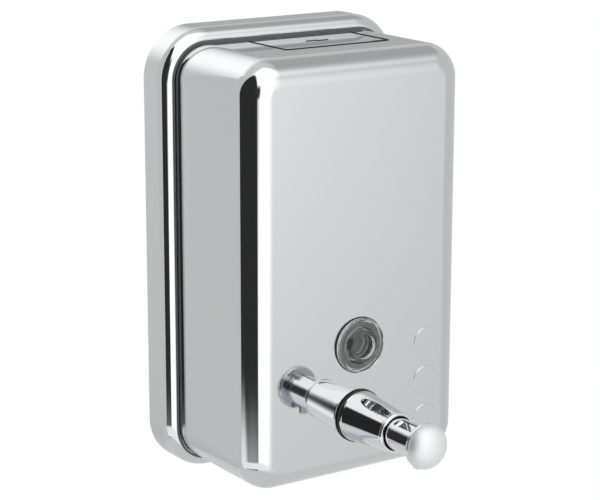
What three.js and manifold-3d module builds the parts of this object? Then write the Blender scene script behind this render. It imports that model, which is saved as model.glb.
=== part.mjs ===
// Wall-hung soap dispenser of polished stainless steel: a back tray that hooks on a wall plate, a deep
// drawn body shell, a hinged filler lid with a key-released catch, a sight glass and a push pump.
// Millimetres. X is to the right seen from the front, the front faces -Y and Z is up.
// The origin is on the wall, at the centre of the back.
import * as THREE from 'three';
import { mergeVertices } from 'three/addons/utils/BufferGeometryUtils.js';
import Module from 'manifold-3d';

const wasm = await Module();
wasm.setup();

// Sheet, gaps and cutters
const SHEET = 1;
const SEAT_GAP = 0.3;
const RUN_GAP = 0.3;
const OVERRUN = 4;

// Back tray
const TRAY_WIDTH = 127.2;
const TRAY_HEIGHT = 206;
const TRAY_DEPTH = 17;
const TRAY_CORNER = 23.3;
const TRAY_SHOULDER = 5.5;

// Body shell
const BODY_WIDTH = 114.8;
const BODY_HEIGHT = 193.4;
const BODY_DEPTH = 78.6;
const BODY_CORNER = 16;
const BODY_EDGE = 11.5;
const BODY_RISE = -0.6;

// Embossed discs on the front
const DISC_RADIUS = 6.65;
const DISC_RISE = 0.3;
const DISC_X = 37.4;
const DISC_TOP_RISE = 57.7;
const DISC_PITCH = 18.35;
const DISC_COUNT = 3;

// Wall plate, hanger and lock screw
const PLATE_SHEET = 1.5;
const PLATE_WIDTH = 76;
const PLATE_CORNER = 6;
const PLATE_TOP_DROP = 43;
const PLATE_HOLE_RADIUS = 2.6;
const PLATE_HOLE_X = 28;
const PLATE_HOLE_BELOW_TOP = 20;
const PLATE_HOLE_ABOVE_END = 31.7;
const HOOK_WIDTH = 60;
const HOOK_REACH = 9;
const HOOK_LIP = 10;
const HANGER_LIP_INSET = 4;
const HANGER_RISE = 14;
const HANGER_LEAF = 16;
const TAB_WIDTH = 24;
const TAB_REACH = 12;
const LOCK_SCREW_RADIUS = 2;
const LOCK_SCREW_LENGTH = 8;
const LOCK_SCREW_Y = -9;
const LOCK_SOCKET_RADIUS = 1.2;
const LOCK_SOCKET_DEPTH = 2.5;

// Filler lid, its hinge, frame and catch
const LID_CENTRE_X = 5.45;
const LID_WIDTH = 55.5;
const LID_LENGTH = 32.7;
const LID_REAR_Y = -20.7;
const LID_CORNER = 1.2;
const LID_SEAM = 0.35;
const LID_REAR_SEAM = 0.6;
const KEY_SLOT_LENGTH = 11.5;
const KEY_SLOT_WIDTH = 1.5;
const KEY_SLOT_STEP = 1.1;
const KEY_SLOT_OVERLAP = 1.2;
const NOTCH_LENGTH = 6.6;
const NOTCH_DEPTH = 1.1;
const NOTCH_MARGIN = 2.2;
const HINGE_INSET = 7;
const HINGE_DROP = 3.4;
const HINGE_RADIUS = 2.1;
const HINGE_PIN_RADIUS = 0.8;
const KNUCKLE_LENGTH = 8;
const EAR_THICKNESS = 1.7;
const FRAME_SHEET = 1.2;
const FRAME_LAND = 5;
const FRAME_LEDGE = 4;
const FRAME_PAST_PIN = 0.9;
const LEAF_WIDTH = 12;
const LEAF_SHEET = 0.6;
const LEAF_GAP = 0.5;
const LEAF_ROOT_INSET = 4.2;
const LEAF_FLAT = 11.2;
const LEAF_DROP = 3.6;
const LEAF_NOSE = 1.2;
const LEAF_NOSE_GAP = 0.5;
const RIVET_RADIUS = 1;
const RIVET_HEAD_RADIUS = 1.8;
const RIVET_HEAD = 0.8;
const RIVET_INSET = 2.2;
const RIVET_SPREAD = 3;

// Sight glass
const SIGHT_ABOVE_PUMP = 33.2;
const SIGHT_FLANGE_RADIUS = 12.3;
const SIGHT_FLANGE = 1.3;
const SIGHT_SHANK_RADIUS = 8;
const SIGHT_SHANK = 14;
const SIGHT_WELL_RADIUS = 5.7;
const SIGHT_WELL_DEPTH = 6;
const SIGHT_TUBE_RADIUS = 7;
const SIGHT_TUBE_RISE = 4.2;
const SIGHT_DISH_RADIUS = 9.4;
const SIGHT_DISH_RISE = 1.8;
const SIGHT_WEB = 2.7;
const SIGHT_GASKET_RADIUS = 12.9;
const SIGHT_GASKET = 0.7;
const SIGHT_WASHER_RADIUS = 12.5;
const SIGHT_WASHER = 1;
const SIGHT_NUT_FLATS = 24;
const SIGHT_NUT = 5;

// Pump, measured outwards from the front face along the pump axis
const PUMP_RISE = 28.9;
const PUMP_ROLL = THREE.MathUtils.degToRad(19);
const SHANK_RADIUS = 8;
const SHANK_FRONT = 12;
const GASKET_RADIUS = 12.6;
const GASKET = 1.5;
const BARREL_BASE_RADIUS = 11.8;
const BARREL_NOSE_RADIUS = 9.2;
const BARREL_BASE_EDGE = 0.5;
const BARREL_NOSE = 28;
const BARREL_END = 30;
const BEAD_RADIUS = 9.4;
const BEAD_GROOVE = 0.3;
const BADGE_PLACE = 17.8;
const BADGE_LENGTH = 19.2;
const BADGE_WIDTH = 4.8;
const BADGE_DEPTH = 0.4;
const ROD_RADIUS = 7.3;
const ROD_CLEARANCE = 0.5;
const ROD_SHOULDER = 24.6;
const ROD_FRONT = 48.1;
const ROD_BORE = 1.6;
const SPIGOT_RADIUS = 5;
const SPIGOT_LENGTH = 4.3;
const KEYWAY_START = 34;
const KEYWAY_END = 45.8;
const KEYWAY_WIDTH = 4.7;
const KEYWAY_DEPTH = 0.8;
const STEM_RADIUS = 3.9;
const STEM_END_RADIUS = 3;
const KNOB_RADIUS = 10.1;
const KNOB_FLANGE = 1.4;
const KNOB_ROUND = 0.4;
const KNOB_GROOVE = 0.5;
const KNOB_DOME = 6;
const KNOB_DOME_POWER = 2.2;
const NOZZLE_PLACE = 45;
const NOZZLE_RADIUS = 2.3;
const NOZZLE_BORE = 1.3;
const NOZZLE_DROP = 11.4;
const NOZZLE_TIP_EDGE = 0.4;
const CYLINDER_RADIUS = 8.6;
const CYLINDER_BORE = 6.2;
const CYLINDER_FRONT = -6;
const CYLINDER_REAR = -46;
const CYLINDER_FLANGE_RADIUS = 13.5;
const CYLINDER_FLANGE = 2.5;
const INNER_GASKET_RADIUS = 12.8;
const INNER_GASKET = 1.5;
const CAP_FLANGE = 2.7;
const CAP_SPIGOT = 2.5;
const PISTON_RADIUS = 5.6;
const PISTON_LENGTH = 7;
const SEAL_SECTION = 2.4;
const SEAL_DEPTH = 0.9;
const SEAL_BORE_GAP = 0.2;
const SPRING_RADIUS = 4.6;
const SPRING_WIRE = 0.45;
const SPRING_TURNS = 7;
const BOSS_PLACE = -39;
const BOSS_RADIUS = 5.6;
const BOSS_LENGTH = 19;
const BOSS_CHAMBER = 9.4;
const TUBE_RADIUS = 3.6;
const TUBE_BORE = 2.2;
const TUBE_TOP = 15.6;
const TUBE_LENGTH = 9;
const PORT_WIDTH = 2;
const PORT_LENGTH = 6.4;
const BALL_RADIUS = 2.6;

// Facet counts
const CORNER_STEPS = 8;
const EDGE_STEPS = 7;
const ROUND_SIDES = 36;
const SMALL_SIDES = 20;
const DOME_STEPS = 9;
const HEX_SIDES = 6;
const BALL_RINGS = 10;
const SPRING_STEPS_PER_TURN = 8;
const WIRE_STEPS = 5;

// Places worked out from the sizes above
const faceY = -BODY_DEPTH;
const bodyTopZ = BODY_RISE + BODY_HEIGHT / 2;
const bodyBottomZ = BODY_RISE - BODY_HEIGHT / 2;
const trayBottomZ = -TRAY_HEIGHT / 2;
const plateTopZ = TRAY_HEIGHT / 2 - PLATE_TOP_DROP;
const plateEndZ = trayBottomZ + SHEET + SEAT_GAP;
const pumpZ = bodyBottomZ + PUMP_RISE;
const sightZ = pumpZ + SIGHT_ABOVE_PUMP;
const discTopZ = bodyBottomZ + DISC_TOP_RISE;
const bodyRearY = -(TRAY_DEPTH + SEAT_GAP);
const lidLeftX = LID_CENTRE_X - LID_WIDTH / 2;
const lidRightX = LID_CENTRE_X + LID_WIDTH / 2;
const lidFrontY = LID_REAR_Y - LID_LENGTH;
const lidUnderZ = bodyTopZ - SHEET;
const pinY = LID_REAR_Y - HINGE_INSET;
const pinZ = bodyTopZ - HINGE_DROP;
const gasketFront = SEAT_GAP + GASKET;
const barrelBase = gasketFront + SEAT_GAP;
const innerFace = -SHEET - SEAT_GAP;
const cylinderFlangeFront = innerFace - INNER_GASKET - SEAT_GAP;
const pistonFront = CYLINDER_FRONT - SEAT_GAP;
const pistonRear = pistonFront - PISTON_LENGTH;
const capFront = CYLINDER_REAR + CAP_SPIGOT;
const wallHoleRadius = SHANK_RADIUS + RUN_GAP;

// A closed three.js geometry as a solid, with its shared corners merged and its faces turned outwards
function solid(geometry) {
  const bare = geometry.clone();
  bare.deleteAttribute('normal');
  bare.deleteAttribute('uv');
  const merged = mergeVertices(bare);
  const places = merged.attributes.position.array;
  const triangles = [];
  let volume = 0;
  const [a, b, c] = [new THREE.Vector3(), new THREE.Vector3(), new THREE.Vector3()];
  for (let i = 0; i < merged.index.count; i += 3) {
    const corner = [0, 1, 2].map((k) => merged.index.getX(i + k));
    if (new Set(corner).size < corner.length) {
      continue;
    }
    triangles.push(corner);
    a.fromArray(places, corner[0] * 3);
    b.fromArray(places, corner[1] * 3);
    c.fromArray(places, corner[2] * 3);
    volume += a.dot(b.cross(c));
  }
  const outward = volume > 0 ? triangles : triangles.map(([i, j, k]) => [i, k, j]);
  return new wasm.Manifold(new wasm.Mesh({
    numProp: 3,
    vertProperties: new Float32Array(places),
    triVerts: new Uint32Array(outward.flat()),
  }));
}

// A solid back as a geometry to show
function geometryOf(body) {
  const mesh = body.getMesh();
  const geometry = new THREE.BufferGeometry();
  geometry.setAttribute('position', new THREE.BufferAttribute(mesh.vertProperties, 3));
  geometry.setIndex(new THREE.BufferAttribute(mesh.triVerts, 1));
  geometry.computeVertexNormals();
  return geometry;
}

const join = (first, ...others) => others.reduce((sum, other) => sum.add(other), first);
const cut = (first, ...others) => others.reduce((rest, other) => rest.subtract(other), first);

// Corners of a rectangle with rounded corners about the origin
function roundedOutline(width, height, radius, steps = CORNER_STEPS) {
  const points = [];
  const corner = Math.max(Math.min(radius, width / 2, height / 2), 0);
  const centres = [[1, 1], [-1, 1], [-1, -1], [1, -1]];
  centres.forEach(([sideX, sideY], quarter) => {
    for (let i = 0; i <= steps; i += 1) {
      const angle = (quarter + i / steps) * (Math.PI / 2);
      const x = sideX * (width / 2 - corner) + corner * Math.cos(angle);
      const y = sideY * (height / 2 - corner) + corner * Math.sin(angle);
      points.push(new THREE.Vector2(x, y));
    }
  });
  return points;
}

// A pressed pan as a full block: straight walls from the rear, then a rounded edge into a flat front
function pan({ width, height, corner, edge, rearY, frontY }) {
  const stations = [[rearY, 0]];
  for (let i = 0; i <= EDGE_STEPS; i += 1) {
    const angle = (i / EDGE_STEPS) * (Math.PI / 2);
    stations.push([frontY + edge * (1 - Math.sin(angle)), edge * (1 - Math.cos(angle))]);
  }
  const rings = stations.map(([y, inset]) => roundedOutline(
    width - 2 * inset,
    height - 2 * inset,
    corner - inset,
  ).map((point) => [point.x, y, point.y]));
  const around = rings[0].length;
  const index = [];
  for (let ring = 0; ring + 1 < rings.length; ring += 1) {
    for (let i = 0; i < around; i += 1) {
      const next = (i + 1) % around;
      const [low, high] = [ring * around, (ring + 1) * around];
      index.push(low + i, high + i, low + next, low + next, high + i, high + next);
    }
  }
  const last = (rings.length - 1) * around;
  for (let i = 1; i + 1 < around; i += 1) {
    index.push(0, i, i + 1, last, last + i + 1, last + i);
  }
  const geometry = new THREE.BufferGeometry();
  geometry.setAttribute('position', new THREE.Float32BufferAttribute(rings.flat(2), 3));
  geometry.setIndex(index);
  return solid(geometry);
}

// A pan with its sheet thickness, open to the rear
function pressedPan({ width, height, corner, edge, rearY, frontY }, sheet) {
  const inside = pan({
    width: width - 2 * sheet,
    height: height - 2 * sheet,
    corner: corner - sheet,
    edge: edge - sheet,
    rearY: rearY + OVERRUN,
    frontY: frontY + sheet,
  });
  return cut(pan({ width, height, corner, edge, rearY, frontY }), inside);
}

// An outline drawn from above, raised from one height to another
function upright(points, lowZ, highZ) {
  const options = { depth: highZ - lowZ, bevelEnabled: false };
  const geometry = new THREE.ExtrudeGeometry(new THREE.Shape(points), options);
  return solid(geometry.translate(0, 0, lowZ));
}

// An outline drawn from the front, given a thickness towards the front
function facing(points, rearY, thickness) {
  const options = { depth: thickness, bevelEnabled: false };
  const geometry = new THREE.ExtrudeGeometry(new THREE.Shape(points), options);
  const turn = new THREE.Matrix4().makeBasis(
    new THREE.Vector3(1, 0, 0),
    new THREE.Vector3(0, 0, 1),
    new THREE.Vector3(0, -1, 0),
  );
  return solid(geometry.applyMatrix4(turn).translate(0, rearY, 0));
}

// A section drawn from the side, as (Y, Z) corners, drawn out along X about a centre
function sideways(points, width, centreX) {
  const options = { depth: width, bevelEnabled: false };
  const geometry = new THREE.ExtrudeGeometry(new THREE.Shape(points), options);
  const turn = new THREE.Matrix4().makeBasis(
    new THREE.Vector3(0, 1, 0),
    new THREE.Vector3(0, 0, 1),
    new THREE.Vector3(1, 0, 0),
  );
  return solid(geometry.applyMatrix4(turn).translate(centreX - width / 2, 0, 0));
}

// The section of a bent strip: a path of (Y, Z) corners with a thickness to its left
function stripSection(path, thickness) {
  const line = path.map(([y, z]) => new THREE.Vector2(y, z));
  const turned = line.slice(1).map((point, i) => {
    const along = point.clone().sub(line[i]).normalize();
    return new THREE.Vector2(-along.y, along.x);
  });
  const offset = line.map((point, i) => {
    const before = turned[Math.max(i - 1, 0)];
    const after = turned[Math.min(i, turned.length - 1)];
    const mitre = before.clone().add(after).normalize();
    return point.clone().addScaledVector(mitre, thickness / mitre.dot(after));
  });
  return [...line, ...offset.reverse()];
}

function block(lowX, highX, lowY, highY, lowZ, highZ) {
  const geometry = new THREE.BoxGeometry(highX - lowX, highY - lowY, highZ - lowZ);
  return solid(geometry.translate((lowX + highX) / 2, (lowY + highY) / 2, (lowZ + highZ) / 2));
}

// A round bar along Y, along Z or along X
function barY(radius, lowY, highY, x, z, sides = ROUND_SIDES) {
  const geometry = new THREE.CylinderGeometry(radius, radius, highY - lowY, sides);
  return solid(geometry.translate(x, (lowY + highY) / 2, z));
}

function barZ(radius, lowZ, highZ, x, y, sides = SMALL_SIDES) {
  const geometry = new THREE.CylinderGeometry(radius, radius, highZ - lowZ, sides);
  return solid(geometry.rotateX(Math.PI / 2).translate(x, y, (lowZ + highZ) / 2));
}

function barX(radius, lowX, highX, y, z, sides = SMALL_SIDES) {
  const geometry = new THREE.CylinderGeometry(radius, radius, highX - lowX, sides);
  return solid(geometry.rotateZ(Math.PI / 2).translate((lowX + highX) / 2, y, z));
}

// A section of (radius, place along Y) corners, turned about the Y axis
function revolve(profile, sides = ROUND_SIDES) {
  const points = profile.map(([radius, place]) => new THREE.Vector2(radius, place));
  return solid(new THREE.LatheGeometry(points, sides));
}

// A flat ring about the Y axis
function ring(innerRadius, outerRadius, low, high, sides = ROUND_SIDES) {
  return revolve([
    [innerRadius, low],
    [outerRadius, low],
    [outerRadius, high],
    [innerRadius, high],
    [innerRadius, low],
  ], sides);
}

function backTray() {
  const size = {
    width: TRAY_WIDTH,
    height: TRAY_HEIGHT,
    corner: TRAY_CORNER,
    edge: TRAY_SHOULDER,
    rearY: 0,
    frontY: -TRAY_DEPTH,
  };
  const screwHole = barZ(
    LOCK_SCREW_RADIUS + RUN_GAP,
    trayBottomZ - OVERRUN,
    trayBottomZ + OVERRUN,
    0,
    LOCK_SCREW_Y,
  );
  return cut(pressedPan(size, SHEET), screwHole);
}

// The deep drawn front with its filler opening, the two round holes and three embossed discs
function bodyShell() {
  const size = {
    width: BODY_WIDTH,
    height: BODY_HEIGHT,
    corner: BODY_CORNER,
    edge: BODY_EDGE,
    rearY: bodyRearY,
    frontY: faceY,
  };
  const shell = pressedPan(size, SHEET).translate([0, 0, BODY_RISE]);
  const openingLength = LID_LENGTH + LID_SEAM + LID_REAR_SEAM;
  const openingY = LID_REAR_Y + LID_REAR_SEAM - openingLength / 2;
  const outline = roundedOutline(LID_WIDTH + 2 * LID_SEAM, openingLength, LID_CORNER + LID_SEAM);
  const filler = upright(outline, bodyTopZ - OVERRUN, bodyTopZ + OVERRUN);
  const discs = [];
  for (let i = 0; i < DISC_COUNT; i += 1) {
    const discZ = discTopZ - i * DISC_PITCH;
    discs.push(barY(DISC_RADIUS, faceY - DISC_RISE, faceY + SHEET / 2, DISC_X, discZ));
  }
  return cut(
    join(shell, ...discs),
    filler.translate([LID_CENTRE_X, openingY, 0]),
    barY(wallHoleRadius, faceY - OVERRUN, faceY + OVERRUN, 0, pumpZ),
    barY(SIGHT_SHANK_RADIUS + RUN_GAP, faceY - OVERRUN, faceY + OVERRUN, 0, sightZ),
  );
}

// Screwed flat on the wall: four holes, an upturned hook above and a tab for the lock screw below
function wallPlate() {
  const height = plateTopZ - plateEndZ;
  const outline = roundedOutline(PLATE_WIDTH, height, PLATE_CORNER);
  const plate = facing(outline, 0, PLATE_SHEET).translate([0, 0, plateEndZ + height / 2]);
  const hookPath = [
    [0, plateTopZ],
    [-HOOK_REACH, plateTopZ],
    [-HOOK_REACH, plateTopZ + HOOK_LIP],
  ];
  const hook = sideways(stripSection(hookPath.reverse(), PLATE_SHEET), HOOK_WIDTH, 0);
  const neck = block(
    -HOOK_WIDTH / 2,
    HOOK_WIDTH / 2,
    -PLATE_SHEET,
    0,
    plateTopZ - PLATE_CORNER,
    plateTopZ + PLATE_SHEET,
  );
  const tab = block(-TAB_WIDTH / 2, TAB_WIDTH / 2, -TAB_REACH, 0, plateEndZ, plateEndZ + PLATE_SHEET);
  const screwHoles = [-PLATE_HOLE_X, PLATE_HOLE_X].flatMap((x) => [
    barY(PLATE_HOLE_RADIUS, -OVERRUN, OVERRUN, x, plateEndZ + PLATE_HOLE_ABOVE_END, SMALL_SIDES),
    barY(PLATE_HOLE_RADIUS, -OVERRUN, OVERRUN, x, plateTopZ - PLATE_HOLE_BELOW_TOP, SMALL_SIDES),
  ]);
  const lockHole = barZ(
    LOCK_SCREW_RADIUS + RUN_GAP,
    plateEndZ - OVERRUN,
    plateEndZ + OVERRUN,
    0,
    LOCK_SCREW_Y,
  );
  return cut(join(plate, hook, neck, tab), ...screwHoles, lockHole);
}

// Welded behind the tray: its turned-down lip drops behind the wall plate's hook
function rearHanger() {
  const lipY = -HANGER_LIP_INSET;
  const topZ = plateTopZ + HANGER_RISE;
  const leafY = -(TRAY_DEPTH - SHEET - SEAT_GAP);
  const section = stripSection([
    [lipY, plateTopZ + PLATE_SHEET + SEAT_GAP],
    [lipY, topZ],
    [leafY, topZ],
    [leafY, topZ - HANGER_LEAF],
  ], PLATE_SHEET);
  return sideways(section, HOOK_WIDTH, 0);
}

function lockScrew() {
  const shank = barZ(
    LOCK_SCREW_RADIUS,
    trayBottomZ,
    trayBottomZ + LOCK_SCREW_LENGTH,
    0,
    LOCK_SCREW_Y,
  );
  const socket = barZ(
    LOCK_SOCKET_RADIUS,
    trayBottomZ - OVERRUN,
    trayBottomZ + LOCK_SOCKET_DEPTH,
    0,
    LOCK_SCREW_Y,
    HEX_SIDES,
  );
  return cut(shank, socket);
}

// The two ends of the lid where hinge parts sit: their inner edges, mirrored about the lid's middle
const hingeSides = [-1, 1].map((side) => (inset, length) => {
  const outer = LID_CENTRE_X + side * (LID_WIDTH / 2 - inset);
  const inner = outer - side * length;
  return [Math.min(outer, inner), Math.max(outer, inner)];
});

const earInset = FRAME_LEDGE - EAR_THICKNESS;

// A seat of three sides under the filler opening, with an ear at each end for the hinge pin
function fillerFrame() {
  const topZ = lidUnderZ - SEAT_GAP;
  const outerX = LID_WIDTH / 2 + LID_SEAM + FRAME_LAND;
  const innerX = LID_WIDTH / 2 - FRAME_LEDGE;
  const frontY = lidFrontY - LID_SEAM - FRAME_LAND;
  const ledgeY = lidFrontY + FRAME_LEDGE;
  const rearY = pinY + FRAME_PAST_PIN;
  const outline = [
    [-outerX, rearY],
    [-outerX, frontY],
    [outerX, frontY],
    [outerX, rearY],
    [innerX, rearY],
    [innerX, ledgeY],
    [-innerX, ledgeY],
    [-innerX, rearY],
  ].map(([x, y]) => new THREE.Vector2(LID_CENTRE_X + x, y));
  const seat = upright(outline, topZ - FRAME_SHEET, topZ);
  const ears = hingeSides.map((place) => {
    const [low, high] = place(earInset, EAR_THICKNESS);
    return barX(HINGE_RADIUS, low, high, pinY, pinZ);
  });
  const pinHole = barX(
    HINGE_PIN_RADIUS + RUN_GAP,
    lidLeftX,
    lidRightX,
    pinY,
    pinZ,
  );
  return cut(join(seat, ...ears), pinHole);
}

// The flush lid: key slot of two stepped halves, a pry notch in its front edge and two knuckles
function fillerLid() {
  const outline = roundedOutline(LID_WIDTH, LID_LENGTH, LID_CORNER);
  const centreY = LID_REAR_Y - LID_LENGTH / 2;
  const sheet = upright(outline, lidUnderZ, bodyTopZ).translate([LID_CENTRE_X, centreY, 0]);
  const knuckles = hingeSides.flatMap((place) => {
    const [low, high] = place(FRAME_LEDGE + SEAT_GAP, KNUCKLE_LENGTH);
    return [
      barX(HINGE_RADIUS, low, high, pinY, pinZ),
      block(low, high, pinY - HINGE_RADIUS, pinY + HINGE_RADIUS, pinZ, lidUnderZ + SHEET / 2),
    ];
  });
  const slotHalves = [-1, 1].map((side) => {
    const ends = [side * (KEY_SLOT_LENGTH / 2), -side * (KEY_SLOT_OVERLAP / 2)];
    const middle = centreY - side * (KEY_SLOT_STEP / 2);
    return block(
      LID_CENTRE_X + Math.min(...ends),
      LID_CENTRE_X + Math.max(...ends),
      middle - KEY_SLOT_WIDTH / 2,
      middle + KEY_SLOT_WIDTH / 2,
      lidUnderZ - SHEET,
      bodyTopZ + SHEET,
    );
  });
  const notch = block(
    lidRightX - NOTCH_MARGIN - NOTCH_LENGTH,
    lidRightX - NOTCH_MARGIN,
    lidFrontY - NOTCH_DEPTH,
    lidFrontY + NOTCH_DEPTH,
    lidUnderZ - SHEET,
    bodyTopZ + SHEET,
  );
  const pinHole = barX(HINGE_PIN_RADIUS + RUN_GAP, lidLeftX, lidRightX, pinY, pinZ);
  return cut(join(sheet, ...knuckles), ...slotHalves, notch, pinHole);
}

function hingePin() {
  const overhang = SEAT_GAP;
  const [low] = hingeSides[0](earInset, EAR_THICKNESS);
  const [, high] = hingeSides[1](earInset, EAR_THICKNESS);
  return barX(HINGE_PIN_RADIUS, low - overhang, high + overhang, pinY, pinZ);
}

const leafTopZ = lidUnderZ - LEAF_GAP;
const leafRootY = pinY - LEAF_ROOT_INSET;
const rivetY = leafRootY - RIVET_INSET;

// A spring leaf under the lid: flat below the key slot, then bent down to a blunt nose
function latchLeaf() {
  const noseY = lidFrontY + FRAME_LEDGE + LEAF_NOSE_GAP;
  const path = [
    [leafRootY, leafTopZ],
    [leafRootY - LEAF_FLAT, leafTopZ],
    [noseY + LEAF_SHEET, leafTopZ - LEAF_DROP],
    [noseY, leafTopZ - LEAF_DROP - LEAF_NOSE],
  ];
  const leaf = sideways(stripSection(path, LEAF_SHEET), LEAF_WIDTH, LID_CENTRE_X);
  const holes = [-RIVET_SPREAD, RIVET_SPREAD].map((x) => barZ(
    RIVET_RADIUS + RUN_GAP,
    leafTopZ - OVERRUN,
    leafTopZ + OVERRUN,
    LID_CENTRE_X + x,
    rivetY,
  ));
  return cut(leaf, ...holes);
}

// One of the two studs that hold the leaf, with its head under it
function latchRivet(side) {
  const x = LID_CENTRE_X + side * RIVET_SPREAD;
  const stemTop = lidUnderZ - SEAT_GAP / 2;
  const headTop = leafTopZ - LEAF_SHEET - LEAF_GAP;
  return join(
    barZ(RIVET_RADIUS, headTop - RIVET_HEAD / 2, stemTop, x, rivetY),
    barZ(RIVET_HEAD_RADIUS, headTop - RIVET_HEAD, headTop, x, rivetY),
  );
}

const sightFlangeRear = SEAT_GAP + SIGHT_GASKET + SEAT_GAP;
const sightWasherFront = -SHEET - SEAT_GAP;

// Clear moulded lens: rounded flange, dished front that rises to a tube round the open well
function sightLens() {
  const flangeFront = sightFlangeRear + SIGHT_FLANGE;
  const rim = SIGHT_FLANGE / 2;
  const lip = (SIGHT_TUBE_RADIUS - SIGHT_WELL_RADIUS) / 2;
  const wellFloor = SIGHT_TUBE_RISE - SIGHT_WELL_DEPTH;
  const profile = [
    [0, wellFloor],
    [SIGHT_WELL_RADIUS - SHEET / 2, wellFloor],
    [SIGHT_WELL_RADIUS, SIGHT_TUBE_RISE - lip],
    [SIGHT_WELL_RADIUS + lip / 2, SIGHT_TUBE_RISE],
    [SIGHT_TUBE_RADIUS - lip / 2, SIGHT_TUBE_RISE],
    [SIGHT_TUBE_RADIUS, SIGHT_TUBE_RISE - lip],
    [SIGHT_DISH_RADIUS, SIGHT_DISH_RISE],
    [SIGHT_FLANGE_RADIUS - 2 * rim, flangeFront],
    [SIGHT_FLANGE_RADIUS - rim / 2, flangeFront - rim / 4],
    [SIGHT_FLANGE_RADIUS, flangeFront - rim],
    [SIGHT_FLANGE_RADIUS, sightFlangeRear],
    [SIGHT_SHANK_RADIUS, sightFlangeRear],
    [SIGHT_SHANK_RADIUS, -SIGHT_SHANK],
    [SIGHT_WELL_RADIUS, -SIGHT_SHANK],
    [SIGHT_WELL_RADIUS, wellFloor - SIGHT_WEB],
    [0, wellFloor - SIGHT_WEB],
  ];
  return revolve(profile);
}

function sightNut() {
  const front = sightWasherFront - SIGHT_WASHER - SEAT_GAP;
  const cornerRadius = SIGHT_NUT_FLATS / Math.sqrt(3);
  return cut(
    barY(cornerRadius, front - SIGHT_NUT, front, 0, 0, HEX_SIDES),
    barY(SIGHT_SHANK_RADIUS + RUN_GAP, front - SIGHT_NUT - OVERRUN, front + OVERRUN, 0, 0),
  );
}

// Chromed sleeve that tapers outwards to a rounded end bead, with a bare oval recess on its upper side
function pumpBarrel() {
  const bore = ROD_RADIUS + ROD_CLEARANCE;
  const threadEnd = SHANK_FRONT + SEAT_GAP + SHEET;
  const bead = (BARREL_END - BARREL_NOSE - BEAD_GROOVE) / 3;
  const profile = [
    [wallHoleRadius, barrelBase],
    [BARREL_BASE_RADIUS - BARREL_BASE_EDGE, barrelBase],
    [BARREL_BASE_RADIUS, barrelBase + BARREL_BASE_EDGE],
    [BARREL_BASE_RADIUS - BARREL_BASE_EDGE / 2, barrelBase + 2 * BARREL_BASE_EDGE],
    [BARREL_NOSE_RADIUS, BARREL_NOSE],
    [BARREL_NOSE_RADIUS - BEAD_GROOVE, BARREL_NOSE + BEAD_GROOVE],
    [BEAD_RADIUS, BARREL_NOSE + BEAD_GROOVE + bead],
    [BEAD_RADIUS, BARREL_END - bead],
    [BEAD_RADIUS - bead / 2, BARREL_END],
    [bore + bead / 2, BARREL_END],
    [bore, BARREL_END - bead],
    [bore, threadEnd],
    [wallHoleRadius, threadEnd],
    [wallHoleRadius, barrelBase],
  ];
  const run = BARREL_NOSE - barrelBase;
  const taper = Math.atan2(BARREL_BASE_RADIUS - BARREL_NOSE_RADIUS, run);
  const share = (BADGE_PLACE - barrelBase) / run;
  const surface = THREE.MathUtils.lerp(BARREL_BASE_RADIUS, BARREL_NOSE_RADIUS, share);
  const recess = new THREE.CylinderGeometry(BADGE_WIDTH / 2, BADGE_WIDTH / 2, OVERRUN, SMALL_SIDES);
  recess.rotateX(Math.PI / 2);
  recess.scale(1, BADGE_LENGTH / BADGE_WIDTH, 1);
  recess.translate(0, 0, -OVERRUN / 2 + BADGE_DEPTH);
  recess.rotateX(taper);
  recess.translate(0, BADGE_PLACE, -surface);
  recess.rotateY(PUMP_ROLL);
  return cut(revolve(profile), solid(recess));
}

// The plunger: a chromed rod with a flat keyway, a spigot for the knob and a hollow stem behind
function pistonRod() {
  const boreEnd = NOZZLE_PLACE + ROD_BORE;
  const profile = [
    [0, boreEnd],
    [ROD_BORE, boreEnd],
    [ROD_BORE, pistonRear],
    [STEM_END_RADIUS, pistonRear],
    [STEM_END_RADIUS, pistonFront + SEAT_GAP],
    [STEM_RADIUS, pistonFront + SEAT_GAP],
    [STEM_RADIUS, ROD_SHOULDER],
    [ROD_RADIUS, ROD_SHOULDER],
    [ROD_RADIUS, ROD_FRONT],
    [SPIGOT_RADIUS, ROD_FRONT],
    [SPIGOT_RADIUS, ROD_FRONT + SPIGOT_LENGTH],
    [0, ROD_FRONT + SPIGOT_LENGTH],
  ];
  const flat = new THREE.BoxGeometry(KEYWAY_WIDTH, KEYWAY_END - KEYWAY_START, OVERRUN);
  flat.translate(0, (KEYWAY_START + KEYWAY_END) / 2, KEYWAY_DEPTH - ROD_RADIUS - OVERRUN / 2);
  flat.rotateY(PUMP_ROLL);
  const nozzleSeat = barZ(NOZZLE_RADIUS + RUN_GAP, 0, ROD_RADIUS + OVERRUN, 0, NOZZLE_PLACE);
  return cut(revolve(profile), solid(flat), nozzleSeat);
}

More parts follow.
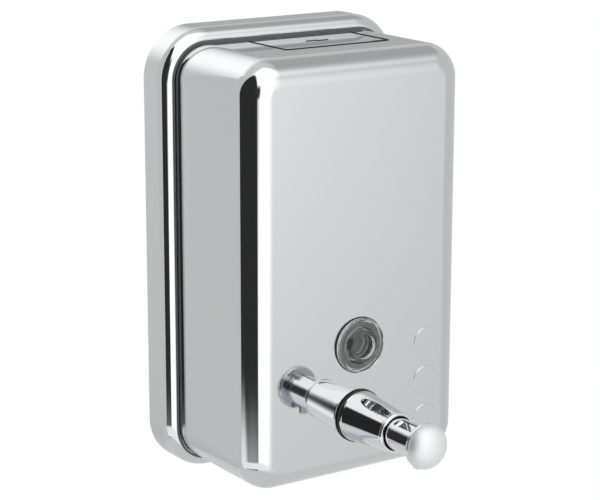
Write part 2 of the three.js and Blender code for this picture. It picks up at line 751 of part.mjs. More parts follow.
function pushKnob() {
  const rear = ROD_FRONT + SEAT_GAP;
  const flangeFront = rear + KNOB_FLANGE;
  const domeBase = flangeFront + KNOB_GROOVE;
  const socketEnd = ROD_FRONT + SPIGOT_LENGTH + SEAT_GAP;
  const dome = [];
  for (let i = 0; i <= DOME_STEPS; i += 1) {
    const angle = (i / DOME_STEPS) * (Math.PI / 2);
    const radius = KNOB_RADIUS * Math.cos(angle) ** (2 / KNOB_DOME_POWER);
    const height = KNOB_DOME * Math.sin(angle) ** (2 / KNOB_DOME_POWER);
    dome.push([i === DOME_STEPS ? 0 : radius, domeBase + height]);
  }
  return revolve([
    [0, socketEnd],
    [SPIGOT_RADIUS + SEAT_GAP, socketEnd],
    [SPIGOT_RADIUS + SEAT_GAP, rear],
    [KNOB_RADIUS - KNOB_ROUND, rear],
    [KNOB_RADIUS, rear + KNOB_ROUND],
    [KNOB_RADIUS, flangeFront - KNOB_ROUND],
    [KNOB_RADIUS - 2 * KNOB_ROUND, flangeFront],
    ...dome,
  ]);
}

// Small tube that points straight down just behind the knob; made along Z, which points down here
function spoutNozzle() {
  const top = ROD_BORE + SEAT_GAP;
  const points = [
    [NOZZLE_BORE, top],
    [NOZZLE_RADIUS, top],
    [NOZZLE_RADIUS, NOZZLE_DROP - NOZZLE_TIP_EDGE],
    [NOZZLE_RADIUS - NOZZLE_TIP_EDGE, NOZZLE_DROP],
    [NOZZLE_BORE, NOZZLE_DROP],
    [NOZZLE_BORE, top],
  ].map(([radius, place]) => new THREE.Vector2(radius, place));
  const geometry = new THREE.LatheGeometry(points, SMALL_SIDES);
  return solid(geometry.rotateX(Math.PI / 2).translate(0, NOZZLE_PLACE, 0));
}

// Moulded cylinder: threaded shank through the front, inner flange, long bore and an inlet boss below
function pumpCylinder() {
  const stemBore = STEM_RADIUS + RUN_GAP;
  const body = revolve([
    [stemBore, SHANK_FRONT],
    [stemBore, CYLINDER_FRONT],
    [CYLINDER_BORE, CYLINDER_FRONT],
    [CYLINDER_BORE, CYLINDER_REAR],
    [CYLINDER_RADIUS, CYLINDER_REAR],
    [CYLINDER_RADIUS, cylinderFlangeFront - CYLINDER_FLANGE],
    [CYLINDER_FLANGE_RADIUS, cylinderFlangeFront - CYLINDER_FLANGE],
    [CYLINDER_FLANGE_RADIUS, cylinderFlangeFront],
    [SHANK_RADIUS, cylinderFlangeFront],
    [SHANK_RADIUS, SHANK_FRONT],
    [stemBore, SHANK_FRONT],
  ]);
  const wallMiddle = (CYLINDER_RADIUS + CYLINDER_BORE) / 2;
  const boss = barZ(BOSS_RADIUS, wallMiddle, BOSS_LENGTH, 0, BOSS_PLACE);
  const chamber = barZ(TUBE_RADIUS + SEAT_GAP, BOSS_CHAMBER, BOSS_LENGTH + OVERRUN, 0, BOSS_PLACE);
  const port = block(
    -PORT_WIDTH / 2,
    PORT_WIDTH / 2,
    BOSS_PLACE - PORT_LENGTH / 2,
    BOSS_PLACE + PORT_LENGTH / 2,
    0,
    BOSS_CHAMBER + SHEET,
  );
  return cut(join(body, boss), barY(CYLINDER_BORE, CYLINDER_REAR, CYLINDER_FRONT, 0, 0), chamber, port);
}

// Wound steel wire between the piston and the cylinder's end cap
class Helix extends THREE.Curve {
  getPoint(share, target = new THREE.Vector3()) {
    const room = SEAT_GAP + SPRING_WIRE;
    const angle = share * SPRING_TURNS * 2 * Math.PI;
    const place = THREE.MathUtils.lerp(pistonRear - room, capFront + room, share);
    return target.set(SPRING_RADIUS * Math.cos(angle), place, SPRING_RADIUS * Math.sin(angle));
  }
}

function returnSpring() {
  const section = new THREE.Shape().absarc(0, 0, SPRING_WIRE, 0, 2 * Math.PI);
  return solid(new THREE.ExtrudeGeometry(section, {
    steps: SPRING_TURNS * SPRING_STEPS_PER_TURN,
    curveSegments: WIRE_STEPS,
    extrudePath: new Helix(),
  }));
}

function piston() {
  const grooveRear = (pistonFront + pistonRear - SEAL_SECTION) / 2 - SEAT_GAP;
  const grooveFront = grooveRear + SEAL_SECTION + 2 * SEAT_GAP;
  const grooveRadius = PISTON_RADIUS - SEAL_DEPTH;
  const bore = STEM_END_RADIUS + SEAT_GAP;
  return revolve([
    [bore, pistonRear],
    [PISTON_RADIUS, pistonRear],
    [PISTON_RADIUS, grooveRear],
    [grooveRadius, grooveRear],
    [grooveRadius, grooveFront],
    [PISTON_RADIUS, grooveFront],
    [PISTON_RADIUS, pistonFront],
    [bore, pistonFront],
    [bore, pistonRear],
  ], SMALL_SIDES);
}

function pistonSeal() {
  const middle = (pistonFront + pistonRear) / 2;
  return ring(
    PISTON_RADIUS - SEAL_DEPTH + SEAL_BORE_GAP,
    CYLINDER_BORE - SEAL_BORE_GAP,
    middle - SEAL_SECTION / 2,
    middle + SEAL_SECTION / 2,
    SMALL_SIDES,
  );
}

function cylinderCap() {
  const spigotRadius = CYLINDER_BORE - SEAT_GAP;
  const flangeFront = CYLINDER_REAR - SEAT_GAP;
  return revolve([
    [0, capFront],
    [spigotRadius, capFront],
    [spigotRadius, flangeFront],
    [CYLINDER_RADIUS, flangeFront],
    [CYLINDER_RADIUS, flangeFront - CAP_FLANGE],
    [0, flangeFront - CAP_FLANGE],
  ], SMALL_SIDES);
}

function suctionTube() {
  return cut(
    barZ(TUBE_RADIUS, TUBE_TOP, TUBE_TOP + TUBE_LENGTH, 0, BOSS_PLACE),
    barZ(TUBE_BORE, TUBE_TOP - OVERRUN, TUBE_TOP + TUBE_LENGTH + OVERRUN, 0, BOSS_PLACE),
  );
}

// The ball rests on the tube's mouth and lifts when the plunger comes back out
function inletBall() {
  const seatHeight = Math.sqrt(BALL_RADIUS ** 2 - TUBE_BORE ** 2) + SEAT_GAP;
  const geometry = new THREE.SphereGeometry(BALL_RADIUS, SMALL_SIDES, BALL_RINGS);
  return solid(geometry.translate(0, BOSS_PLACE, TUBE_TOP - seatHeight));
}

const steel = { color: 0xcfd1d2, roughness: 0.08, metalness: 1 };
const chrome = { color: 0xd8dadb, roughness: 0.05, metalness: 1 };
const plainSteel = { color: 0xb4b6b8, roughness: 0.35, metalness: 1 };
const rubber = { color: 0x2b2b2c, roughness: 0.7, metalness: 0 };
const moulding = { color: 0xe6e6e2, roughness: 0.4, metalness: 0 };
const acrylic = { color: 0xd9dedd, roughness: 0.03, metalness: 0, transparent: true, opacity: 0.4 };

const group = new THREE.Group();

function addTo(parent, name, body, finish) {
  const mesh = new THREE.Mesh(geometryOf(body), new THREE.MeshStandardMaterial(finish));
  mesh.name = name;
  parent.add(mesh);
}

addTo(group, 'back_tray', backTray(), steel);
addTo(group, 'body_shell', bodyShell(), steel);
addTo(group, 'wall_plate', wallPlate(), plainSteel);
addTo(group, 'rear_hanger', rearHanger(), plainSteel);
addTo(group, 'lock_screw', lockScrew(), plainSteel);
addTo(group, 'filler_frame', fillerFrame(), plainSteel);
addTo(group, 'filler_lid', fillerLid(), steel);
addTo(group, 'hinge_pin', hingePin(), plainSteel);
addTo(group, 'latch_leaf', latchLeaf(), plainSteel);
addTo(group, 'latch_rivet_left', latchRivet(-1), plainSteel);
addTo(group, 'latch_rivet_right', latchRivet(1), plainSteel);

// Pieces on an axis square to the front: inside these groups Y points out of the front and Z down
function frontAxis(z) {
  const axis = new THREE.Group();
  axis.position.set(0, faceY, z);
  axis.rotation.x = Math.PI;
  group.add(axis);
  return axis;
}

const sight = frontAxis(sightZ);
const sightHole = SIGHT_SHANK_RADIUS + RUN_GAP;
const sightGasket = ring(sightHole, SIGHT_GASKET_RADIUS, SEAT_GAP, SEAT_GAP + SIGHT_GASKET);
const sightWasher = ring(
  sightHole,
  SIGHT_WASHER_RADIUS,
  sightWasherFront - SIGHT_WASHER,
  sightWasherFront,
);
addTo(sight, 'sight_lens', sightLens(), acrylic);
addTo(sight, 'sight_gasket', sightGasket, rubber);
addTo(sight, 'sight_washer', sightWasher, rubber);
addTo(sight, 'sight_nut', sightNut(), moulding);

const pump = frontAxis(pumpZ);
const innerGasket = ring(wallHoleRadius, INNER_GASKET_RADIUS, innerFace - INNER_GASKET, innerFace);
addTo(pump, 'barrel_gasket', ring(wallHoleRadius, GASKET_RADIUS, SEAT_GAP, gasketFront), rubber);
addTo(pump, 'pump_barrel', pumpBarrel(), chrome);
addTo(pump, 'pump_cylinder', pumpCylinder(), moulding);
addTo(pump, 'inner_gasket', innerGasket, rubber);
addTo(pump, 'piston_rod', pistonRod(), chrome);
addTo(pump, 'push_knob', pushKnob(), chrome);
addTo(pump, 'spout_nozzle', spoutNozzle(), chrome);
addTo(pump, 'piston', piston(), moulding);
addTo(pump, 'piston_seal', pistonSeal(), rubber);
addTo(pump, 'return_spring', returnSpring(), plainSteel);
addTo(pump, 'cylinder_cap', cylinderCap(), moulding);
addTo(pump, 'suction_tube', suctionTube(), moulding);
addTo(pump, 'inlet_ball', inletBall(), plainSteel);

export default group;
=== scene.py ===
"""A wall-hung soap dispenser of mirror polished stainless steel with a chromed push pump.

Every size here is in millimetres and is turned to metres when a mesh is finished. The frame is the
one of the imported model: X to the right seen from the front, Y into the wall, Z up, and the origin
on the wall at the centre of the back.
"""
import logging
import math
from dataclasses import dataclass
from enum import Enum
from typing import Any, Optional, Sequence

import bmesh
import bpy
from mathutils import Matrix, Vector


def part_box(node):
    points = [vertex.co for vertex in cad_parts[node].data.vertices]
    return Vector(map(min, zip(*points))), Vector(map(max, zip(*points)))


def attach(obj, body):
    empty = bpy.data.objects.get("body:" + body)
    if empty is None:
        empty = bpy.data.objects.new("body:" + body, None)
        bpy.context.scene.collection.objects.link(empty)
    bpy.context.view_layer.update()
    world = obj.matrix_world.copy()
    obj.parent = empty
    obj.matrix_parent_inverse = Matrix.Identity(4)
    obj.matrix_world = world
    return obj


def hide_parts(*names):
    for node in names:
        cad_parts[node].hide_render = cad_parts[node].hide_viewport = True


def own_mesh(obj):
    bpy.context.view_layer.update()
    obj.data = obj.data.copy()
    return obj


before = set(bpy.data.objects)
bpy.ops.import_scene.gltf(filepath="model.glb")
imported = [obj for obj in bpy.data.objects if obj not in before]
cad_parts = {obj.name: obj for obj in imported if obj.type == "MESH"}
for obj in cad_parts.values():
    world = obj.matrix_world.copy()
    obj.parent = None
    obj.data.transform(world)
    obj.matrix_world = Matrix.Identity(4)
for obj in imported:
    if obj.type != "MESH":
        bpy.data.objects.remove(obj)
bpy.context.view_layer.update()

LOG = logging.getLogger("soap_dispenser")

MM = 0.001
# How far a cutter reaches past what it cuts.
OVERRUN = 4.0
# How far from a corner the points lie that keep the shading of the flat beside it true.
SUPPORT = 0.08
# Edges over this angle stay sharp in shading, and bevels round them.
SHARP_EDGE = math.radians(32)
# Faces within this angle of each other become one in a copy of a node.
FLAT = math.radians(1)
# Points closer than this become one: in millimetres for new shapes, in metres for copies of nodes.
SAME_PLACE = 1e-5
SAME_PLACE_IN_METRES = 1e-7
BEVEL_STEPS = 3
# How fully the large flat faces set the shading beside a bevel; 50 would be even.
FLAT_WEIGHT = 100
FILLET_STEPS = 6
# A rounding takes no more than this share of the sides beside it.
FILLET_SHARE = 0.48
# Straights over this length get support points.
LONG_STRAIGHT = 6 * SUPPORT
PRESSED_EDGE_STEPS = 22
# The part of a noise's range that most of it lies in.
NOISE_LOW, NOISE_HIGH = 0.3, 0.7
WHITE = (1.0, 1.0, 1.0, 1.0)

Point = tuple[float, float]
Ring = list[Vector]
Mesh = bmesh.types.BMesh
Thing = bpy.types.Object
Material = bpy.types.Material
Tree = bpy.types.NodeTree
Node = bpy.types.Node
Socket = bpy.types.NodeSocket


def linear(colour: str) -> tuple[float, float, float, float]:
    """Turns an sRGB hex colour into linear light.

    Args:
        colour: six hex digits after a number sign.

    Returns:
        Red, green, blue and an alpha of 1, as a shader socket takes them.
    """
    channels = [int(colour[i:i + 2], 16) / 255 for i in (1, 3, 5)]
    light = [c / 12.92 if c <= 0.04045 else ((c + 0.055) / 1.055) ** 2.4 for c in channels]
    return (*light, 1.0)


def add_node(tree: Tree, kind: str, settings: Optional[dict[str, Any]] = None, **inputs: Any) -> Node:
    """Adds one node with its settings, and links or sets its inputs.

    Args:
        tree: the tree that gets the node.
        kind: the node's type name.
        settings: properties of the node itself.
        inputs: a socket to link from, a node whose first output is linked, or a value, for each
            input; "_3" stands for input number 3 and other names have spaces where the socket's
            name has them.

    Returns:
        The new node.
    """
    node = tree.nodes.new(kind)
    for name, value in (settings or {}).items():
        setattr(node, name, value)
    for name, value in inputs.items():
        socket = node.inputs[int(name[1:]) if name.startswith("_") else name.replace("_", " ")]
        if isinstance(value, (Node, Socket)):
            tree.links.new(value.outputs[0] if isinstance(value, Node) else value, socket)
        else:
            socket.default_value = value
    return node


def blank_material(title: str) -> Material:
    """Makes a material without nodes.

    Args:
        title: its name.

    Returns:
        The material.
    """
    material = bpy.data.materials.new(title)
    material.use_nodes = True
    material.node_tree.nodes.clear()
    return material


class Body(Enum):
    """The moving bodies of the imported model."""

    HOUSING = "housing"
    LID = "lid"
    LATCH = "latch"
    PLUNGER = "plunger"
    BALL = "ball"


class Slot(Enum):
    """The record's material slots."""

    POLISHED = "polished_steel"
    PLAIN = "plain_steel"
    CHROME = "chrome"
    RUBBER = "rubber"
    MOULDING = "moulding"
    ACRYLIC = "clear_acrylic"


@dataclass(frozen=True)
class Coat:
    """A material that is ready for use. Only the studio's boards have no slot in the record."""

    material: Material
    slot: Optional[Slot] = None


@dataclass(frozen=True)
class Finish:
    """What every finish has: a name, the record's slot and the start of a node tree."""

    title: str
    slot: Slot

    def shade(self, tree: Tree, place: Node) -> Node:
        """Adds the finish's own nodes and gives the one that makes the surface."""
        raise NotImplementedError

    def make(self) -> Coat:
        """Builds the material.

        Returns:
            The finished coat.
        """
        material = blank_material(self.title)
        tree = material.node_tree
        place = add_node(tree, "ShaderNodeTexCoord").outputs["Object"]
        scaled = add_node(tree, "ShaderNodeVectorMath", {"operation": "SCALE"}, _0=place, Scale=1 / MM)
        add_node(tree, "ShaderNodeOutputMaterial", Surface=self.shade(tree, scaled))
        return Coat(material, self.slot)


@dataclass(frozen=True)
class Solid(Finish):
    """An opaque finish, whose gloss and colour change a little from place to place."""

    colour: str
    gloss: float
    gloss_change: float
    tint_change: float

    def varied(self, tree: Tree, fine: Node, coarse: Node) -> dict[str, Node | Socket]:
        """Makes the gloss from a fine pattern and the colour from a coarse one.

        Args:
            tree: the material's tree.
            fine: the pattern for the gloss.
            coarse: the pattern for the colour.

        Returns:
            The shader's inputs for both.
        """
        change = self.gloss_change / 2
        gloss = add_node(tree, "ShaderNodeMapRange", Value=fine, From_Min=NOISE_LOW, From_Max=NOISE_HIGH,
                         To_Min=self.gloss - change, To_Max=self.gloss + change)
        *full, alpha = linear(self.colour)
        low = [channel * (1 - self.tint_change) for channel in full]
        tint = add_node(tree, "ShaderNodeMix", {"data_type": "RGBA"}, _0=coarse, _6=(*low, alpha),
                        _7=(*full, alpha))
        return {"Roughness": gloss, "Base_Color": tint.outputs[2]}


@dataclass(frozen=True)
class Metal(Solid):
    """A metal surface: a polish or a mill grain with a slight change of gloss, and a faint unevenness.

    The grain is drawn out along the direction in which the sheet was rolled or the piece was buffed.
    """

    colour: str = "#D0D1D2"
    gloss: float = 0.05
    gloss_change: float = 0.02
    tint_change: float = 0.02
    grain_width: float = 0.4
    grain_stretch: tuple[float, float, float] = (1.0, 1.0, 0.05)
    grain_depth: float = 0.0002
    wave_width: float = 30.0
    wave_depth: float = 0.01

    def shade(self, tree: Tree, place: Node) -> Node:
        """Adds the nodes of polish, grain and waves.

        Args:
            tree: the material's tree.
            place: gives the place on the object, in millimetres.

        Returns:
            The metallic shader.
        """
        stretched = add_node(tree, "ShaderNodeMapping", Vector=place, Scale=self.grain_stretch)
        grain = add_node(tree, "ShaderNodeTexNoise", Vector=stretched, Scale=1 / self.grain_width,
                         Detail=3.0)
        cloud = add_node(tree, "ShaderNodeTexNoise", Vector=place, Scale=1 / self.wave_width, Detail=2.0)
        wave = add_node(tree, "ShaderNodeBump", Strength=1.0, Distance=self.wave_depth * MM, Height=cloud)
        uneven = add_node(tree, "ShaderNodeBump", Strength=1.0, Distance=self.grain_depth * MM,
                          Height=grain, Normal=wave)
        return add_node(tree, "ShaderNodeBsdfPrincipled", Metallic=1.0, Normal=uneven,
                        **self.varied(tree, grain, cloud))


@dataclass(frozen=True)
class Moulded(Solid):
    """A moulded rubber or plastic: an even colour with a fine skin texture and a soft gloss."""

    colour: str = "#262627"
    gloss: float = 0.6
    gloss_change: float = 0.12
    tint_change: float = 0.08
    texture_width: float = 0.25
    texture_depth: float = 0.01
    cloud_scale: float = 0.15
    ior: float = 1.5

    def shade(self, tree: Tree, place: Node) -> Node:
        """Adds the nodes of the skin.

        Args:
            tree: the material's tree.
            place: gives the place on the object, in millimetres.

        Returns:
            The opaque shader.
        """
        skin = add_node(tree, "ShaderNodeTexNoise", Vector=place, Scale=1 / self.texture_width, Detail=4.0)
        cloud = add_node(tree, "ShaderNodeTexNoise", Vector=place, Scale=self.cloud_scale, Detail=2.0)
        uneven = add_node(tree, "ShaderNodeBump", Strength=1.0, Height=skin,
                          Distance=self.texture_depth * MM)
        return add_node(tree, "ShaderNodeBsdfPrincipled", IOR=self.ior, Normal=uneven,
                        **self.varied(tree, skin, cloud))


@dataclass(frozen=True)
class Clear(Finish):
    """Clear moulded acrylic: bright polished surfaces with the faint flow marks of moulding.

    Light goes straight through to what lies behind it, as through any thin clear piece.
    """

    colour: str = "#F4F6F5"
    gloss: float = 0.015
    ior: float = 1.49
    flow_width: float = 4.0
    flow_depth: float = 0.15
    clearness: float = 0.975

    def shade(self, tree: Tree, place: Node) -> Node:
        """Adds the nodes of the flow marks and of the light let through.

        Args:
            tree: the material's tree.
            place: gives the place on the object, in millimetres.

        Returns:
            The clear shader, which casts no full shadow.
        """
        colour = linear(self.colour)
        flow = add_node(tree, "ShaderNodeTexNoise", Vector=place, Scale=1 / self.flow_width, Detail=2.0)
        uneven = add_node(tree, "ShaderNodeBump", Strength=1.0, Distance=self.flow_depth * MM, Height=flow)
        haze = add_node(tree, "ShaderNodeMapRange", Value=flow, From_Min=NOISE_LOW, From_Max=NOISE_HIGH,
                        To_Min=self.gloss / 2, To_Max=self.gloss * 2)
        clear = add_node(tree, "ShaderNodeBsdfPrincipled", Base_Color=colour, IOR=self.ior, Normal=uneven,
                         Roughness=haze, Transmission_Weight=self.clearness)
        through = add_node(tree, "ShaderNodeBsdfTransparent", Color=colour)
        path = add_node(tree, "ShaderNodeLightPath")
        return add_node(tree, "ShaderNodeMixShader", _0=path.outputs["Is Shadow Ray"], _1=clear, _2=through)


class Finishes:
    """All finishes of the dispenser, each made once."""

    def __init__(self) -> None:
        """Makes the materials."""
        # Type 304 sheet, drawn and buffed to a mirror: crisp reflections over a barely uneven skin.
        self.polished = Metal("mirror polished stainless steel", Slot.POLISHED, "#D3D4D5").make()
        # Bright chromium over polished nickel: bluer and a little crisper than the steel.
        self.chrome = Metal("bright chromium plate", Slot.CHROME, "#DCDEE0", gloss=0.035, gloss_change=0.01,
                            wave_width=12.0, wave_depth=0.003).make()
        # The push button is blasted before plating, so its chromium is soft and light.
        self.satin = Metal("satin chromium plate", Slot.CHROME, "#E8E9EA", gloss=0.6, gloss_change=0.06,
                           grain_stretch=(1.0, 1.0, 1.0), grain_depth=0.0001, wave_width=8.0,
                           wave_depth=0.003).make()
        # Hidden steel as it comes from the mill: grey, with a rolled grain.
        self.plain = Metal("mill finish steel", Slot.PLAIN, "#B2B4B6", gloss=0.34, gloss_change=0.12,
                           grain_width=0.5, grain_stretch=(0.06, 1.0, 1.0), grain_depth=0.008,
                           wave_depth=0.02, tint_change=0.08).make()
        # Drawn spring wire and turned stainless: brighter than the sheet, with fine drawing lines.
        self.wire = Metal("drawn stainless wire", Slot.PLAIN, "#C4C5C6", gloss=0.2, gloss_change=0.08,
                          grain_width=0.15, grain_depth=0.004).make()
        # Nitrile rubber from a steel mould: near black with a dull sheen.
        self.rubber = Moulded("moulded black rubber", Slot.RUBBER, "#29292A").make()
        # Dark grey strip in the shell's seam with the tray, which paints the shade of the gap there: dark
        # grey with a slightly brighter skin than the moulded rubber.
        self.seam_shade_strip = Moulded("dark grey silicone cord", Slot.RUBBER, "#5C5C5D", gloss=0.45,
                            texture_depth=0.001).make()
        # Acetal, machine moulded: milky white with a waxy gloss.
        self.acetal = Moulded("white moulded acetal", Slot.MOULDING, "#E6E6E1", gloss=0.38,
                              texture_width=0.5, texture_depth=0.004, tint_change=0.03, ior=1.48).make()
        # Polyethylene tube: translucent milky white with a softer gloss.
        self.tube = Moulded("milky polyethylene", Slot.MOULDING, "#E2E5E3", gloss=0.45,
                            texture_width=0.8, texture_depth=0.006, tint_change=0.04, ior=1.51).make()
        # Acrylic from a polished mould: clear and bright, with flow marks too faint to read as grain.
        self.clear = Clear("clear moulded acrylic", Slot.ACRYLIC).make()


def finished(name: str, mesh: Mesh, coat: Coat, in_mm: bool = True) -> Thing:
    """Turns a bmesh into an object at the origin, in metres, with shaded faces and sharp edges kept.

    Args:
        name: the object's name.
        mesh: the shape; it is freed.
        coat: its only finish.
        in_mm: whether the shape is still in millimetres.

    Returns:
        The new object, linked to the scene.
    """
    if in_mm:
        bmesh.ops.scale(mesh, vec=(MM, MM, MM), verts=mesh.verts)
    data = bpy.data.meshes.new(name)
    mesh.to_mesh(data)
    mesh.free()
    data.materials.append(coat.material)
    data.polygons.foreach_set("material_index", [0] * len(data.polygons))
    data.polygons.foreach_set("use_smooth", [True] * len(data.polygons))
    data.set_sharp_from_angle(angle=SHARP_EDGE)
    made = bpy.data.objects.new(name, data)
    bpy.context.collection.objects.link(made)
    return made


def applied(made: Thing, keep_sharp: bool = True) -> Thing:
    """Turns an object's modifiers into its plain mesh.

    Args:
        made: the object.
        keep_sharp: whether edges over the sharp angle are marked again, which undoes weighted normals.

    Returns:
        The same object without modifiers.
    """
    graph = bpy.context.evaluated_depsgraph_get()
    data = bpy.data.meshes.new_from_object(made.evaluated_get(graph))
    made.modifiers.clear()
    old = made.data
    made.data = data
    data.name = made.name
    bpy.data.meshes.remove(old)
    data.polygons.foreach_set("use_smooth", [True] * len(data.polygons))
    if keep_sharp:
        data.set_sharp_from_angle(angle=SHARP_EDGE)
    return made


def carve(made: Thing, *tools: Thing, add: bool = False) -> Thing:
    """Cuts tools out of an object, or joins them to it, and deletes the tools.

    Args:
        made: the object that is worked on.
        tools: closed solids.
        add: True joins them instead.

    Returns:
        The same object with a plain mesh.
    """
    for tool in tools:
        step = made.modifiers.new(tool.name, "BOOLEAN")
        step.operation = "UNION" if add else "DIFFERENCE"
        step.solver = "EXACT"
        step.object = tool
    applied(made)
    for tool in tools:
        bpy.data.objects.remove(tool)
    return made


def bevelled(made: Thing, width: float) -> Thing:
    """Rounds an object's sharp edges.

    Args:
        made: the object.
        width: the width of the rounding.

    Returns:
        The same object with a plain mesh.
    """
    step = made.modifiers.new("rounding", "BEVEL")
    step.width = width * MM
    step.segments = BEVEL_STEPS
    step.limit_method = "ANGLE"
    step.angle_limit = SHARP_EDGE
    step.use_clamp_overlap = True
    applied(made)
    level = made.modifiers.new("flat faces", "WEIGHTED_NORMAL")
    level.keep_sharp = True
    level.weight = FLAT_WEIGHT
    return applied(made, keep_sharp=False)


def circle(radius: float, sides: int) -> list[Point]:
    """Points round a circle about the middle, turning from +X towards +Y."""
    turned = [2 * math.pi * i / sides for i in range(sides)]
    return [(radius * math.cos(angle), radius * math.sin(angle)) for angle in turned]


def rounded_outline(width: float, height: float, corner: float, steps: int = 24) -> list[Point]:
    """Points of a rectangle with rounded corners, with a support point next to each arc.

    Args:
        width: the whole width.
        height: the whole height.
        corner: the corners' radius.
        steps: steps in each corner.

    Returns:
        Points about the middle, turning from +X towards +Y.
    """
    points = []
    for quarter, (side_x, side_y) in enumerate(((1, 1), (-1, 1), (-1, -1), (1, -1))):
        centre_x = side_x * (width / 2 - corner)
        centre_y = side_y * (height / 2 - corner)
        turned = [(quarter + i / steps) * math.pi / 2 for i in range(steps + 1)]
        arc = [(centre_x + corner * math.cos(a), centre_y + corner * math.sin(a)) for a in turned]
        before = (arc[0][0] + SUPPORT * math.sin(turned[0]), arc[0][1] - SUPPORT * math.cos(turned[0]))
        after = (arc[-1][0] - SUPPORT * math.sin(turned[-1]), arc[-1][1] + SUPPORT * math.cos(turned[-1]))
        points.extend([before, *arc, after])
    return points


def skinned(rings: Sequence[Ring], caps: bool = True, closed: bool = False) -> Mesh:
    """Joins rings of points with faces, merges doubles and turns all faces outwards.

    Args:
        rings: rings with as many points each.
        caps: whether the first and the last ring get a face.
        closed: whether the last ring joins the first instead.

    Returns:
        The bmesh.
    """
    mesh = bmesh.new()
    made = [[mesh.verts.new(point) for point in ring] for ring in rings]
    pairs = list(zip(made, made[1:]))
    if closed:
        pairs.append((made[-1], made[0]))
    around = len(made[0])
    for low, high in pairs:
        for i in range(around):
            after = (i + 1) % around
            mesh.faces.new((low[i], low[after], high[after], high[i]))
    if caps and not closed:
        mesh.faces.new(list(reversed(made[0])))
        mesh.faces.new(made[-1])
    bmesh.ops.remove_doubles(mesh, verts=mesh.verts, dist=SAME_PLACE)
    bmesh.ops.dissolve_degenerate(mesh, edges=mesh.edges, dist=SAME_PLACE)
    bmesh.ops.recalc_face_normals(mesh, faces=mesh.faces)
    return mesh


@dataclass(frozen=True)
class Pan:
    """A pressed pan between two corners: straight walls from an open rear, a rounded edge, a flat front."""

    low: Vector
    high: Vector
    front: float
    corner: float
    edge: float

    def rings(self, inset: float) -> list[Ring]:
        """The rings of one skin, from the rear to the middle of the front.

        Args:
            inset: how far inside the outer skin this one lies.

        Returns:
            Rings of points.
        """
        low, high = self.low, self.high
        edge = self.edge - inset
        front = self.front + inset
        stations = [(high.y, 0.0), (front + edge + SUPPORT, 0.0)]
        for i in range(PRESSED_EDGE_STEPS + 1):
            angle = (i / PRESSED_EDGE_STEPS) * math.pi / 2
            stations.append((front + edge * (1 - math.sin(angle)), edge * (1 - math.cos(angle))))
        stations.append((front, edge + SUPPORT))
        rings = []
        for place, drawn_in in stations:
            both = inset + drawn_in
            width = high.x - low.x - 2 * both
            outline = rounded_outline(width, high.z - low.z - 2 * both, self.corner - both)
            rings.append([Vector((x, place, z + (low.z + high.z) / 2)) for x, z in outline])
        return rings

    def pressed(self, sheet: float) -> Mesh:
        """The pan in sheet metal of a thickness, as a closed bmesh."""
        return skinned([*reversed(self.rings(0.0)), *self.rings(sheet)])


def filleted(profile: Sequence[tuple[float, ...]]) -> list[Point]:
    """Rounds the corners of a section and puts support points beside them.

    Args:
        profile: corners of (radius, place) or (radius, place, rounding).

    Returns:
        The finished points.
    """
    points: list[Point] = []
    for i, corner in enumerate(profile):
        here = Vector(corner[:2])
        rounding = corner[2] if len(corner) > 2 else 0.0
        if rounding <= 0 or i in (0, len(profile) - 1):
            points.append((here.x, here.y))
            continue
        back = Vector(profile[i - 1][:2]) - here
        ahead = Vector(profile[i + 1][:2]) - here
        turn = back.angle(ahead)
        room = min(back.length, ahead.length) * FILLET_SHARE
        reach = min(rounding / math.tan(turn / 2), room)
        radius = reach * math.tan(turn / 2)
        start = here + back.normalized() * reach
        end = here + ahead.normalized() * reach
        middle = here + (back.normalized() + ahead.normalized()).normalized() * (radius / math.sin(turn / 2))
        first = start - middle
        sweep = first.angle_signed(end - middle)
        for step in range(FILLET_STEPS + 1):
            point = middle + Matrix.Rotation(-sweep * step / FILLET_STEPS, 2) @ first
            points.append((point.x, point.y))
    return supported(points)


def supported(points: Sequence[Point]) -> list[Point]:
    """Adds a point near both ends of each long straight, so that its shading stays true.

    Args:
        points: the section.

    Returns:
        The section with the added points.
    """
    out = [points[0]]
    for before, after in zip(points, points[1:]):
        start, end = Vector(before), Vector(after)
        run = (end - start).length
        if run > LONG_STRAIGHT:
            along = (end - start) / run
            near = start + along * SUPPORT
            far = end - along * SUPPORT
            out.extend([(near.x, near.y), (far.x, far.y)])
        out.append(after)
    return out


def ring_section(inner: float, outer: float, low: float, high: float, low_edge: float, high_edge: float,
                 inner_edge: float = 0.0) -> list[Point]:
    """The section of a ring or a tube.

    Args:
        inner: its inner radius.
        outer: its outer radius.
        low: where it starts.
        high: where it ends.
        low_edge: the rounding of its outer edge at the start.
        high_edge: the rounding of its outer edge at the end.
        inner_edge: the rounding of its inner edge at the end.

    Returns:
        The finished points, which close on themselves.
    """
    return filleted([
        (inner, low),
        (outer, low, low_edge),
        (outer, high, high_edge),
        (inner, high, inner_edge),
        (inner, low),
    ])


